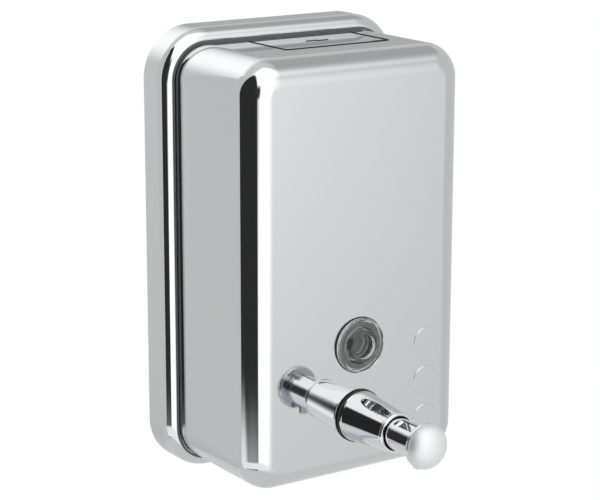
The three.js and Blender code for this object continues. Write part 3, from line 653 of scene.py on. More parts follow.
@dataclass(frozen=True)
class Axis:
    """An axis square to the front face: places on it are counted outwards from the face."""

    face: float
    height: float

    def turned(self, profile: Sequence[Point], sides: int = 128) -> Mesh:
        """Turns a section about the axis.

        Args:
            profile: points of (radius, place); it starts and ends on the axis, or closes on itself.
            sides: steps around.

        Returns:
            A closed bmesh.
        """
        closed = math.dist(profile[0], profile[-1]) < SAME_PLACE
        rings = [
            [Vector((across, self.face - place, self.height + up)) for across, up in circle(radius, sides)]
            for radius, place in (profile[:-1] if closed else profile)
        ]
        return skinned(rings, caps=False, closed=closed)

    def below(self, profile: Sequence[Point], place: float) -> Mesh:
        """Turns a section about a line that points straight down from the axis.

        Args:
            profile: points of (radius, distance below the axis).
            place: where the line leaves the axis, outwards from the face.

        Returns:
            A closed bmesh.
        """
        mesh = Axis(0.0, 0.0).turned(profile, sides=64)
        turn = Matrix.Rotation(math.pi / 2, 4, "X")
        bmesh.ops.transform(mesh, matrix=turn, verts=mesh.verts)
        bmesh.ops.translate(mesh, vec=(0.0, self.face - place, self.height), verts=mesh.verts)
        return mesh

    def rolled(self, roll: float) -> Matrix:
        """Moves what is drawn about the origin to the start of the axis, rolled in radians."""
        return Matrix.Translation((0.0, self.face, self.height)) @ Matrix.Rotation(-roll, 4, "Y")


def drum(radius: float, low: Vector, high: Vector, sides: int = 96) -> Mesh:
    """A round bar between two points.

    Args:
        radius: its radius.
        low: the middle of one end.
        high: the middle of the other end.
        sides: steps around.

    Returns:
        A closed bmesh.
    """
    turn = Vector((0, 0, 1)).rotation_difference((high - low).normalized())
    spokes = [turn @ Vector((x, y, 0.0)) for x, y in circle(radius, sides)]
    return skinned([[end + spoke for spoke in spokes] for end in (low, high)])


def slab(outline: Sequence[Point], low: float, high: float) -> Mesh:
    """Raises an outline of points (X, Y) from one height to another, as a closed bmesh."""
    return skinned([[Vector((x, y, height)) for x, y in outline] for height in (low, high)])


def brick(low: Vector, high: Vector) -> Mesh:
    """A block between its lowest and its highest corner, as a closed bmesh."""
    outline = [(low.x, low.y), (high.x, low.y), (high.x, high.y), (low.x, high.y)]
    return slab(outline, low.z, high.z)


def box_of(node: str) -> tuple[Vector, Vector]:
    """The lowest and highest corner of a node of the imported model, in millimetres."""
    low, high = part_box(node)
    return low / MM, high / MM


def seat(made: Thing, body: Body, slot: Slot, *nodes: str) -> None:
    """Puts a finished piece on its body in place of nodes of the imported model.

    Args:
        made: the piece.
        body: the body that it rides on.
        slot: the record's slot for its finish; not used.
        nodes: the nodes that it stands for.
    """
    if nodes:
        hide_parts(*nodes)
    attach(made, body.value)
    LOG.info("%s on %s, %d faces", made.name, body.value, len(made.data.polygons))


def piece(name: str, mesh: Mesh, coat: Coat, body: Body, *nodes: str) -> None:
    """Finishes a shape in millimetres and seats it on its body in place of nodes, if it has any."""
    seat(finished(name, mesh, coat), body, coat.slot, *nodes)


def fine_copy(node: str, name: str, coat: Coat, body: Body, width: float,
              cuts: Sequence[tuple[Vector, Vector]] = ()) -> None:
    """Makes a copy of a node, with its flat faces whole again and its edges rounded, in its place.

    Args:
        node: the node's name.
        name: the copy's name.
        coat: the copy's finish.
        body: the body that it rides on.
        width: the rounding.
        cuts: planes, each a place in millimetres and a direction, that divide a face round its holes.
    """
    mesh = bmesh.new()
    mesh.from_mesh(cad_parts[node].data)
    bmesh.ops.remove_doubles(mesh, verts=mesh.verts, dist=SAME_PLACE_IN_METRES)
    for place, direction in cuts:
        whole = [*mesh.verts, *mesh.edges, *mesh.faces]
        cut = bmesh.ops.bisect_plane(mesh, geom=whole, plane_co=place * MM, plane_no=direction)
        for edge in cut["geom_cut"]:
            if isinstance(edge, bmesh.types.BMEdge):
                edge.seam = True
    bmesh.ops.dissolve_limit(mesh, angle_limit=FLAT, verts=mesh.verts, edges=mesh.edges, delimit={"SEAM"})
    seat(bevelled(finished(name, mesh, coat, in_mm=False), width), body, coat.slot, node)


class Recipe:
    """A geometry node tree with named inputs, which is run once."""

    def __init__(self, title: str, inputs: dict[str, tuple[str, Any]]) -> None:
        """Starts the tree.

        Args:
            title: its name.
            inputs: for each input its kind of socket and its value; one is the Finish.
        """
        self.inputs = inputs
        self.tree = bpy.data.node_groups.new(title, "GeometryNodeTree")
        for label, (kind, _) in inputs.items():
            self.tree.interface.new_socket(label, in_out="INPUT", socket_type=f"NodeSocket{kind}")
        self.tree.interface.new_socket("Geometry", in_out="OUTPUT", socket_type="NodeSocketGeometry")
        self.given = add_node(self.tree, "NodeGroupInput").outputs

    def run(self, name: str, shape: Node) -> Thing:
        """Ends the tree, runs it on an empty mesh and keeps what it makes as a plain mesh.

        Args:
            name: the new object's name.
            shape: the node that gives the shape.

        Returns:
            The new object.
        """
        real = add_node(self.tree, "GeometryNodeRealizeInstances", Geometry=shape)
        dressed = add_node(self.tree, "GeometryNodeSetMaterial", Geometry=real,
                           Material=self.given["Finish"])
        add_node(self.tree, "NodeGroupOutput", Geometry=dressed)
        made = bpy.data.objects.new(name, bpy.data.meshes.new(name))
        bpy.context.collection.objects.link(made)
        step = made.modifiers.new(name, "NODES")
        step.node_group = self.tree
        sockets = {item.name: item.identifier
                   for item in self.tree.interface.items_tree if item.in_out == "INPUT"}
        for label, (_, value) in self.inputs.items():
            step[sockets[label]] = value
        bpy.context.view_layer.update()
        return applied(made)


@dataclass
class BackTray:
    """The pressed pan against the wall."""

    finishes: Finishes
    sheet: float = 1.0
    corner: float = 23.3
    shoulder: float = 5.5
    screw_hole: float = 2.3
    screw_place: float = -9.0

    def build(self) -> None:
        """Makes the tray in place of its node."""
        steel = self.finishes.polished
        low, high = box_of("back_tray")
        pan = Pan(low, high, low.y, self.corner, self.shoulder)
        made = finished("back_tray_sheet", pan.pressed(self.sheet), steel)
        start = Vector((0.0, self.screw_place, low.z - OVERRUN))
        end = Vector((0.0, self.screw_place, low.z + OVERRUN))
        carve(made, finished("screw hole", drum(self.screw_hole, start, end, sides=48), steel))
        seat(made, Body.HOUSING, steel.slot, "back_tray")


@dataclass
class FrontShell:
    """The deep drawn front with its openings and embossed discs, and a dark grey strip in its seam with the
    tray that paints the shade of the gap.
    """

    finishes: Finishes
    sheet: float = 1.0
    corner: float = 16.0
    edge: float = 11.5
    disc_radius: float = 6.65
    disc_rise: float = 0.3
    disc_rounding: float = 0.25
    disc_x: float = 37.4
    disc_above_base: float = 57.7
    disc_pitch: float = 18.35
    disc_count: int = 3
    hole_radius: float = 8.3
    seam: float = 0.35
    rear_seam: float = 0.6
    opening_corner: float = 1.55
    # Sizes of the dark strip in the seam with the tray, which paints the shade of the gap there.
    seam_shade_width: float = 1.0
    seam_shade_depth: float = 0.35
    seam_shade_edge: float = 0.15
    seam_shade_side_gap: float = 0.35
    seam_shade_clearance: float = 0.03

    def axis_of(self, node: str) -> Axis:
        """The axis of a round node, with its places counted from the flat front."""
        low, high = box_of(node)
        return Axis(box_of("body_shell")[0].y + self.disc_rise, (low.z + high.z) / 2)

    def discs(self, face: float, base: float) -> Thing:
        """The embossed discs, laid out one below the other by a node tree.

        Args:
            face: where the flat front lies, along Y.
            base: the height of the shell's lower end.

        Returns:
            One object with all discs, as solids that reach into the sheet.
        """
        steel = self.finishes.polished
        depth = self.sheet / 2
        pattern = finished("disc pattern", Axis(0.0, 0.0).turned(filleted([
            (0.0, -depth),
            (self.disc_radius, -depth),
            (self.disc_radius, self.disc_rise, self.disc_rounding),
            (0.0, self.disc_rise),
        ]), sides=96), steel)
        row = Recipe("discs in a row", {
            "Pattern": ("Object", pattern),
            "Top": ("Vector", Vector((self.disc_x, face, base + self.disc_above_base)) * MM),
            "Pitch": ("Vector", Vector((0.0, 0.0, -self.disc_pitch * MM))),
            "Count": ("Int", self.disc_count),
            "Finish": ("Material", steel.material),
        })
        line = add_node(row.tree, "GeometryNodeMeshLine", {"mode": "OFFSET"}, Count=row.given["Count"],
                        Start_Location=row.given["Top"], Offset=row.given["Pitch"])
        info = add_node(row.tree, "GeometryNodeObjectInfo", Object=row.given["Pattern"])
        copies = add_node(row.tree, "GeometryNodeInstanceOnPoints", Points=line,
                          Instance=info.outputs["Geometry"])
        made = row.run("discs", copies)
        bpy.data.objects.remove(pattern)
        return made

    def build(self, *holes: Axis) -> None:
        """Makes the shell in place of its node.

        Args:
            holes: the axes of its round holes.
        """
        steel = self.finishes.polished
        low, high = box_of("body_shell")
        face = low.y + self.disc_rise
        pan = Pan(low, high, face, self.corner, self.edge)
        made = finished("front_shell_sheet", pan.pressed(self.sheet), steel)
        lid_low, lid_high = box_of("filler_lid")
        width = lid_high.x - lid_low.x + 2 * self.seam
        length = lid_high.y - lid_low.y + self.seam + self.rear_seam
        middle_x = (lid_low.x + lid_high.x) / 2
        middle_y = lid_high.y + self.rear_seam - length / 2
        outline = [(middle_x + x, middle_y + y)
                   for x, y in rounded_outline(width, length, self.opening_corner, steps=8)]
        cutters = [finished("filler opening", slab(outline, high.z - OVERRUN, high.z + OVERRUN), steel)]
        for axis in holes:
            start = Vector((0.0, face - OVERRUN, axis.height))
            end = Vector((0.0, face + OVERRUN, axis.height))
            cutters.append(finished("round hole", drum(self.hole_radius, start, end), steel))
        carve(made, self.discs(face, low.z), add=True)
        carve(made, *cutters)
        # Painted shade: a dark grey strip stands in for the shadow of the gap between shell and tray.
        self.seam_shade_strip()
        seat(made, Body.HOUSING, steel.slot, "body_shell")

    def seam_shade_strip(self) -> None:
        """Makes the thin dark grey strip in the seam between the shell and the tray's front.

        It is painted shade: it stands in for the shadow of the gap there. It lies closer to the shell above
        and below than at the sides.
        """
        low, high = box_of("body_shell")
        near, far = self.seam_shade_side_gap, self.seam_shade_side_gap + self.seam_shade_width
        rear = box_of("back_tray")[0].y - self.seam_shade_clearance
        front = rear - self.seam_shade_depth
        edge = self.seam_shade_edge
        section = ((near, rear), (far, rear), (far, front + edge), (far - edge, front), (near, front))
        rings = []
        for out, place in section:
            above = self.seam_shade_clearance if out == near else out
            width = high.x - low.x + 2 * out
            outline = rounded_outline(width, high.z - low.z + 2 * above, self.corner + above)
            rings.append([Vector((x, place, z + (low.z + high.z) / 2)) for x, z in outline])
        piece("seam_cord", skinned(rings, closed=True), self.finishes.seam_shade_strip, Body.HOUSING)


@dataclass
class FillerLid:
    """The flush lid with its key slot, pry notch and hinge knuckles, and the parts that hold it."""

    finishes: Finishes
    edge_rounding: float = 0.18
    corner: float = 1.2
    slot_length: float = 11.5
    slot_width: float = 1.5
    slot_step: float = 1.1
    slot_overlap: float = 1.2
    notch_length: float = 6.6
    notch_depth: float = 1.1
    notch_margin: float = 2.2
    # Sizes of the black strips that paint the shade in the lid's seam and along the rear edges of its slot
    # and notch.
    lid_shade_near: float = 0.05
    lid_shade_far: float = 0.3
    lid_shade_rise: float = 0.3
    lid_shade_drop: float = 0.8
    lid_shade_rear: float = 2.0
    lip: float = 0.3
    lip_rise: float = 0.25

    # Painted shade: a black strip stands in for the shadow in the lid's seam.
    def seal(self) -> None:
        """Makes the thin black strip in the seam at the lid's front and sides, which paints the shade in the
        gap there.
        """
        rubber = self.finishes.rubber
        low, high = box_of("filler_lid")
        middle = (low + high) / 2
        rings = []
        for out, place in ((self.lid_shade_near, -self.lid_shade_drop), (self.lid_shade_far, -self.lid_shade_drop),
                           (self.lid_shade_far, self.lid_shade_rise), (self.lid_shade_near, self.lid_shade_rise)):
            width = high.x - low.x + 2 * out
            outline = rounded_outline(width, high.y - low.y + 2 * out, self.corner + out, steps=8)
            rings.append([Vector((middle.x + x, middle.y + y, high.z + place)) for x, y in outline])
        made = finished("lid_seam_seal", skinned(rings, closed=True), rubber)
        rear_low = Vector((low.x - OVERRUN, high.y - self.lid_shade_rear, high.z - OVERRUN))
        rear_high = Vector((high.x + OVERRUN, high.y + OVERRUN, high.z + OVERRUN))
        carve(made, finished("open rear", brick(rear_low, rear_high), rubber))
        seat(made, Body.HOUSING, rubber.slot)

    def slot_shade_strips(self) -> None:
        """Makes thin black strips along the rear edges of the key slot and pry notch, as one piece, which
        paint the shade inside them.
        """
        rubber = self.finishes.rubber
        low, high = box_of("filler_lid")
        middle = (low + high) / 2
        bottom, top = high.z - self.lid_shade_drop, high.z + self.lip_rise
        blocks = []
        for side in (-1, 1):
            ends = sorted((side * (self.slot_length / 2 - self.lid_shade_near), -side * self.slot_overlap / 2))
            rear = middle.y - side * self.slot_step / 2 + self.slot_width / 2 - self.lid_shade_near
            blocks.append(brick(Vector((middle.x + ends[0], rear - self.lip, bottom)),
                                Vector((middle.x + ends[1], rear, top))))
        right = high.x - self.notch_margin - self.lid_shade_near
        left = right - self.notch_length + 2 * self.lid_shade_near
        rear = low.y + self.notch_depth - self.lid_shade_near
        blocks.append(brick(Vector((left, rear - self.lip, bottom)), Vector((right, rear, top))))
        first, *others = [finished("lid_slot_lips", block, rubber) for block in blocks]
        seat(carve(first, *others, add=True), Body.LID, rubber.slot)

    def build(self) -> None:
        """Makes the lid, its catch, the black strips that paint the shade in its seam, slot and notch, its
        pin and the frame under it.
        """
        plain, wire, rounding = self.finishes.plain, self.finishes.wire, self.edge_rounding
        low, high = box_of("filler_lid")
        middle = (low + high) / 2
        cuts = [(middle, Vector((1, 0, 0))), (middle, Vector((0, 1, 0)))]
        fine_copy("filler_lid", "lid_sheet", self.finishes.polished, Body.LID, rounding, cuts)
        fine_copy("filler_frame", "lid_seat_frame", plain, Body.HOUSING, rounding)
        fine_copy("latch_leaf", "catch_leaf", wire, Body.LATCH, rounding / 3)
        # Painted shade: black strips in the lid's seam and in its key slot and pry notch.
        self.seal()
        self.slot_shade_strips()
        for side in ("left", "right"):
            fine_copy(f"latch_rivet_{side}", f"catch_stud_{side}", wire, Body.LID, rounding)
        low, high = box_of("hinge_pin")
        middle = (low + high) / 2
        start = Vector((low.x, middle.y, middle.z))
        end = Vector((high.x, middle.y, middle.z))
        pin = finished("lid_pin", drum((high.z - low.z) / 2, start, end, sides=40), wire)
        seat(bevelled(pin, rounding), Body.HOUSING, wire.slot, "hinge_pin")


@dataclass
class WallFixing:
    """The wall plate, the hanger behind the tray and the lock screw below."""

    finishes: Finishes
    plate_rounding: float = 0.35
    screw_rounding: float = 0.2

    def build(self) -> None:
        """Makes the three pieces."""
        plain = self.finishes.plain
        fine_copy("wall_plate", "wall_plate_sheet", plain, Body.HOUSING, self.plate_rounding)
        fine_copy("rear_hanger", "tray_hanger", plain, Body.HOUSING, self.plate_rounding)
        fine_copy("lock_screw", "lock_screw_turned", self.finishes.wire, Body.HOUSING, self.screw_rounding)


@dataclass
class SightGlass:
    """The clear lens, the gasket under it, and the washer and nut that hold it from inside."""

    finishes: Finishes
    axis: Axis
    sheet: float = 1.0
    gap: float = 0.15
    gasket: float = 0.5
    gasket_radius: float = 12.9
    gasket_inner_edge: float = 11.2
    gasket_rounding: float = 0.3
    # Sizes of the gasket's raised outer rim, a dark ring that is partly the gasket's own rim and partly
    # painted shade.
    lip_width: float = 0.45
    lip: float = 0.3
    lip_rounding: float = 0.1
    flange_radius: float = 12.3
    flange: float = 1.8
    dish_radius: float = 9.4
    dish_rise: float = 1.8
    tube_radius: float = 7.0
    tube_rise: float = 4.2
    well_radius: float = 5.7
    well_rounding: float = 0.5
    well_floor: float = -1.8
    shank_radius: float = 8.0
    shank_end: float = -14.0
    web: float = 2.7
    hole_radius: float = 8.3
    washer_radius: float = 12.5
    washer: float = 1.0
    nut_rounding: float = 0.4

    def build(self) -> None:
        """Makes the pieces on their axis."""
        rubber = self.finishes.rubber
        rear = self.gap + self.gasket + self.gap
        piece("sight_glass_lens", self.axis.turned(filleted([
            (0.0, self.well_floor),
            (self.well_radius - self.well_rounding, self.well_floor, self.well_rounding),
            (self.well_radius, self.tube_rise, 0.35),
            (self.tube_radius, self.tube_rise, 0.6),
            (self.dish_radius, self.dish_rise, 1.2),
            (self.flange_radius, rear + self.flange, 0.8),
            (self.flange_radius, rear, 0.15),
            (self.shank_radius, rear, 0.2),
            (self.shank_radius, self.shank_end, 0.3),
            (self.well_radius, self.shank_end, 0.3),
            (self.well_radius, self.well_floor - self.web, 0.4),
            (0.0, self.well_floor - self.web),
        ])), self.finishes.clear, Body.HOUSING, "sight_lens")
        flat = ring_section(self.hole_radius, self.gasket_inner_edge, self.gap, self.gap + self.gasket,
                            self.gasket_rounding, self.gasket_rounding)
        # Partly painted shade: the gasket's raised dark rim also stands in for the shadow line round the
        # lens flange.
        raised = ring_section(self.gasket_radius - self.lip_width, self.gasket_radius, self.gap,
                              self.gap + self.lip, self.lip_rounding, self.lip_rounding)
        lip = finished("sight_glass_lip", self.axis.turned(raised), rubber)
        gasket = carve(finished("sight_glass_gasket", self.axis.turned(flat), rubber), lip, add=True)
        seat(gasket, Body.HOUSING, rubber.slot, "sight_gasket")
        front = -(self.sheet + self.gap)
        washer = ring_section(self.hole_radius, self.washer_radius, front - self.washer, front,
                              self.gasket_rounding, self.gasket_rounding)
        piece("sight_glass_washer", self.axis.turned(washer), rubber, Body.HOUSING, "sight_washer")
        fine_copy("sight_nut", "sight_glass_nut", self.finishes.acetal, Body.HOUSING, self.nut_rounding)


@dataclass
class Pump:
    """The push pump: barrel, rod, knob and nozzle outside, cylinder and piston inside."""

    finishes: Finishes
    axis: Axis
    sheet: float = 1.0
    gap: float = 0.3
    hole_radius: float = 8.3
    gasket: float = 0.9
    gasket_radius: float = 12.3
    inner_gasket: float = 1.5
    inner_gasket_radius: float = 12.8
    gasket_edges: tuple[float, ...] = (0.4, 0.6)
    roll: float = math.radians(19)
    base_radius: float = 11.8
    base_edge: float = 0.8
    base_bevel: float = 0.1
    base_waist: float = 0.3
    base_neck: float = 0.25
    nose_radius: float = 9.2
    nose: float = 28.0
    end: float = 30.0
    bead_radius: float = 9.4
    bead_groove: float = 0.3
    recess_place: float = 17.8
    recess_length: float = 19.2
    recess_width: float = 4.8
    recess_depth: float = 0.4
    thread_end: float = 13.3
    rod_radius: float = 7.3
    rod_clearance: float = 0.5
    rod_shoulder: float = 24.6
    rod_front: float = 48.1
    rod_bore: float = 1.6
    stem_radius: float = 3.9
    stem_end_radius: float = 3.0
    spigot_radius: float = 5.0
    spigot: float = 4.3
    keyway_start: float = 34.0
    keyway_end: float = 45.8
    keyway_width: float = 4.7
    keyway_depth: float = 0.8
    knob_radius: float = 10.1
    knob_flange: float = 1.4
    knob_groove: float = 0.5
    knob_groove_depth: float = 0.8
    knob_dome: float = 6.0
    knob_edge: float = 0.1
    knob_power: float = 2.2
    knob_steps: int = 40
    joint: float = 0.01
    nozzle_place: float = 45.0
    nozzle_radius: float = 2.3
    nozzle_bore: float = 1.3
    nozzle_drop: float = 11.4
    nozzle_edges: tuple[float, ...] = (0.0, 0.6, 0.3)
    cylinder_radius: float = 8.6
    cylinder_bore: float = 6.2
    cylinder_front: float = -6.0
    cylinder_rear: float = -46.0
    cylinder_rounding: float = 0.25
    cap_flange: float = 2.7
    cap_spigot: float = 2.5
    piston_radius: float = 5.6
    piston_length: float = 7.0
    seal_section: float = 2.4
    seal_depth: float = 0.9
    seal_bore_gap: float = 0.2
    seal_edges: tuple[float, ...] = (0.3, 0.3)
    spring_radius: float = 4.6
    spring_wire: float = 0.45
    spring_turns: int = 7
    spring_turn_steps: int = 48
    spring_sides: int = 12
    travel: float = 12.0
    boss_place: float = -39.0
    tube_radius: float = 3.6
    tube_bore: float = 2.2
    tube_top: float = 15.6
    tube_length: float = 9.0
    tube_edges: tuple[float, ...] = (0.3, 0.3, 0.3)
    ball_radius: float = 2.6

    @property
    def piston_front(self) -> float:
        """Where the piston's front lies."""
        return self.cylinder_front - self.gap

    @property
    def piston_rear(self) -> float:
        """Where the piston's rear lies."""
        return self.piston_front - self.piston_length

    def gaskets(self) -> None:
        """Makes the two rubber rings, outside and inside the front."""
        inner = -(self.sheet + self.gap)
        for name, node, radius, low, high in (
                ("sleeve_gasket", "barrel_gasket", self.gasket_radius, self.gap, self.gap + self.gasket),
                ("inner_ring", "inner_gasket", self.inner_gasket_radius, inner - self.inner_gasket, inner)):
            section = ring_section(self.hole_radius, radius, low, high, *self.gasket_edges)
            piece(name, self.axis.turned(section), self.finishes.rubber, Body.HOUSING, node)

    def barrel(self) -> None:
        """Makes the tapered sleeve with its end bead and bare oval recess."""
        chrome = self.finishes.chrome
        base = self.gap + self.gasket + self.gap
        bead = (self.end - self.nose - self.bead_groove) / 2
        made = finished("pump_sleeve", self.axis.turned(filleted([
            (self.hole_radius, base),
            (self.base_radius - self.base_bevel, base, self.base_edge / 2),
            (self.base_radius, base + self.base_edge / 2, self.base_edge / 2),
            (self.base_radius - self.base_waist, base + self.base_edge, 0.3),
            (self.base_radius - self.base_neck, base + 2 * self.base_edge, 0.4),
            (self.nose_radius, self.nose, 0.15),
            (self.nose_radius - self.bead_groove / 2, self.nose + self.bead_groove, 0.1),
            (self.bead_radius, self.nose + self.bead_groove + bead / 3, 0.4),
            (self.bead_radius, self.end, 0.7),
            (self.rod_radius + self.rod_clearance, self.end, 0.5),
            (self.rod_radius + self.rod_clearance, self.thread_end),
            (self.hole_radius, self.thread_end),
            (self.hole_radius, base),
        ]), sides=256), chrome)
        run = self.nose - base
        taper = math.atan2(self.base_radius - self.nose_radius, run)
        share = (self.recess_place - base) / run
        surface = self.base_radius + (self.nose_radius - self.base_radius) * share
        oval = drum(self.recess_width / 2, Vector((0, 0, -self.recess_depth)), Vector((0, 0, OVERRUN)))
        bmesh.ops.scale(oval, vec=(1.0, self.recess_length / self.recess_width, 1.0), verts=oval.verts)
        place = (
            self.axis.rolled(self.roll)
            @ Matrix.Translation((0.0, -self.recess_place, surface))
            @ Matrix.Rotation(taper, 4, "X")
        )
        bmesh.ops.transform(oval, matrix=place, verts=oval.verts)
        carve(made, finished("oval recess", oval, chrome))
        seat(made, Body.HOUSING, chrome.slot, "pump_barrel")

    def rod(self) -> None:
        """Makes the plunger's rod with its flat keyway and hollow stem."""
        chrome = self.finishes.chrome
        made = finished("plunger_rod", self.axis.turned(filleted([
            (0.0, self.nozzle_place + self.rod_bore),
            (self.rod_bore, self.nozzle_place + self.rod_bore, 0.2),
            (self.rod_bore, self.piston_rear),
            (self.stem_end_radius, self.piston_rear, 0.2),
            (self.stem_end_radius, self.piston_front + self.gap),
            (self.stem_radius, self.piston_front + self.gap, 0.2),
            (self.stem_radius, self.rod_shoulder),
            (self.rod_radius, self.rod_shoulder, 0.4),
            (self.rod_radius, self.rod_front, 0.25),
            (self.spigot_radius, self.rod_front),
            (self.spigot_radius, self.rod_front + self.spigot, 0.3),
            (0.0, self.rod_front + self.spigot),
        ]), sides=192), chrome)
        half = self.keyway_width / 2
        floor = self.rod_radius - self.keyway_depth
        flat = brick(Vector((-half, -self.keyway_end, floor)),
                     Vector((half, -self.keyway_start, floor + OVERRUN)))
        bmesh.ops.transform(flat, matrix=self.axis.rolled(self.roll), verts=flat.verts)
        hole_y = self.axis.face - self.nozzle_place
        start = Vector((0.0, hole_y, self.axis.height))
        end = Vector((0.0, hole_y, self.axis.height - self.rod_radius - OVERRUN))
        hole = drum(self.nozzle_radius + self.gap, start, end, sides=48)
        carve(made, finished("keyway", flat, chrome), finished("nozzle seat", hole, chrome))
        seat(made, Body.PLUNGER, chrome.slot, "piston_rod")

    def knob(self) -> None:
        """Makes the push knob: a polished rear flange, a fine groove and a soft dome."""
        rear = self.rod_front + self.gap
        flange_front = rear + self.knob_flange
        dome_base = flange_front + self.knob_groove
        socket = self.spigot_radius + self.gap
        socket_end = self.rod_front + self.spigot + self.gap
        neck = self.knob_radius - self.knob_groove_depth
        piece("push_button_flange", self.axis.turned(filleted([
            (socket, dome_base - self.joint),
            (socket, rear, 0.2),
            (self.knob_radius, rear, 0.45),
            (self.knob_radius, flange_front, 0.45),
            (neck, flange_front, 0.1),
            (neck, dome_base - self.joint),
            (socket, dome_base - self.joint),
        ])), self.finishes.chrome, Body.PLUNGER)
        dome = []
        for i in range(self.knob_steps + 1):
            angle = (i / self.knob_steps) * math.pi / 2
            radius = self.knob_radius * max(math.cos(angle), 0.0) ** (2 / self.knob_power)
            height = self.knob_dome * math.sin(angle) ** (2 / self.knob_power)
            dome.append((0.0 if i == self.knob_steps else radius, dome_base + height))
        rows = filleted([
            (0.0, socket_end),
            (socket, socket_end, 0.2),
            (socket, dome_base),
            (self.knob_radius - self.knob_edge, dome_base),
        ])
        button = self.axis.turned([*rows, *dome])
        piece("push_button", button, self.finishes.satin, Body.PLUNGER, "push_knob")

    def nozzle(self) -> None:
        """Makes the small tube that the soap leaves by."""
        top = self.rod_bore + self.gap
        section = ring_section(self.nozzle_bore, self.nozzle_radius, top, self.nozzle_drop,
                               *self.nozzle_edges)
        tube = self.axis.below(section, self.nozzle_place)
        piece("soap_nozzle", tube, self.finishes.chrome, Body.PLUNGER, "spout_nozzle")

    def spring(self) -> None:
        """Makes the return spring, wound as one wire by a node tree."""
        room = self.gap + self.spring_wire
        start = self.piston_rear - room
        end = self.cylinder_rear + self.cap_spigot + room
        coil = Recipe("wound wire", {
            "Radius": ("Float", self.spring_radius * MM),
            "Wire": ("Float", self.spring_wire * MM),
            "Turns": ("Float", float(self.spring_turns)),
            "Length": ("Float", (start - end) * MM),
            "Start": ("Vector", Vector((0.0, self.axis.face - start, self.axis.height)) * MM),
            "Turn": ("Vector", Vector((-math.pi / 2, 0.0, 0.0))),
            "Finish": ("Material", self.finishes.wire.material),
        })
        tree, given = coil.tree, coil.given
        helix = add_node(tree, "GeometryNodeCurveSpiral", Resolution=self.spring_turn_steps,
                         Rotations=given["Turns"], Start_Radius=given["Radius"],
                         End_Radius=given["Radius"], Height=given["Length"])
        ring = add_node(tree, "GeometryNodeCurvePrimitiveCircle", {"mode": "RADIUS"},
                        Resolution=self.spring_sides, Radius=given["Wire"])
        wire = add_node(tree, "GeometryNodeCurveToMesh", Curve=helix, Profile_Curve=ring, Fill_Caps=True)
        placed = add_node(tree, "GeometryNodeTransform", Geometry=wire, Translation=given["Start"],
                          Rotation=given["Turn"])
        made = coil.run("wound_spring", placed)
        seat(made, Body.HOUSING, self.finishes.wire.slot, "return_spring")
        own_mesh(made)

    def inside(self) -> None:
        """Makes the piston and its seal, the end cap, the suction tube and the inlet ball."""
        acetal = self.finishes.acetal
        middle = (self.piston_front + self.piston_rear) / 2
        half = self.seal_section / 2
        groove = half + self.gap
        groove_radius = self.piston_radius - self.seal_depth
        bore = self.stem_end_radius + self.gap
        piece("pump_piston", self.axis.turned(filleted([
            (bore, self.piston_rear),
            (self.piston_radius, self.piston_rear, 0.3),
            (self.piston_radius, middle - groove),
            (groove_radius, middle - groove),
            (groove_radius, middle + groove),
            (self.piston_radius, middle + groove),
            (self.piston_radius, self.piston_front, 0.3),
            (bore, self.piston_front),
            (bore, self.piston_rear),
        ])), acetal, Body.PLUNGER, "piston")
        seal = ring_section(groove_radius + self.seal_bore_gap, self.cylinder_bore - self.seal_bore_gap,
                            middle - half, middle + half, *self.seal_edges)
        piece("piston_ring", self.axis.turned(seal), self.finishes.rubber, Body.PLUNGER, "piston_seal")
        cap_front = self.cylinder_rear + self.cap_spigot
        cap_flange = self.cylinder_rear - self.gap
        spigot = self.cylinder_bore - self.gap
        piece("cylinder_end_cap", self.axis.turned(filleted([
            (0.0, cap_front),
            (spigot, cap_front, 0.3),
            (spigot, cap_flange),
            (self.cylinder_radius, cap_flange, 0.3),
            (self.cylinder_radius, cap_flange - self.cap_flange, 0.6),
            (0.0, cap_flange - self.cap_flange),
        ])), acetal, Body.HOUSING, "cylinder_cap")
        tube = ring_section(self.tube_bore, self.tube_radius, self.tube_top,
                            self.tube_top + self.tube_length, *self.tube_edges)
        piece("dip_tube", self.axis.below(tube, self.boss_place), self.finishes.tube, Body.HOUSING,
              "suction_tube")
        low, high = box_of("inlet_ball")
        ball = bmesh.new()
        bmesh.ops.create_icosphere(ball, subdivisions=4, radius=self.ball_radius)
        bmesh.ops.translate(ball, vec=(low + high) / 2, verts=ball.verts)
        piece("valve_ball", ball, self.finishes.wire, Body.BALL, "inlet_ball")

    def build(self) -> None:
        """Makes the whole pump."""
        self.gaskets()
        self.barrel()
        self.rod()
        self.knob()
        self.nozzle()
        fine_copy("pump_cylinder", "cylinder_moulding", self.finishes.acetal, Body.HOUSING,
                  self.cylinder_rounding)
        self.spring()
        self.inside()


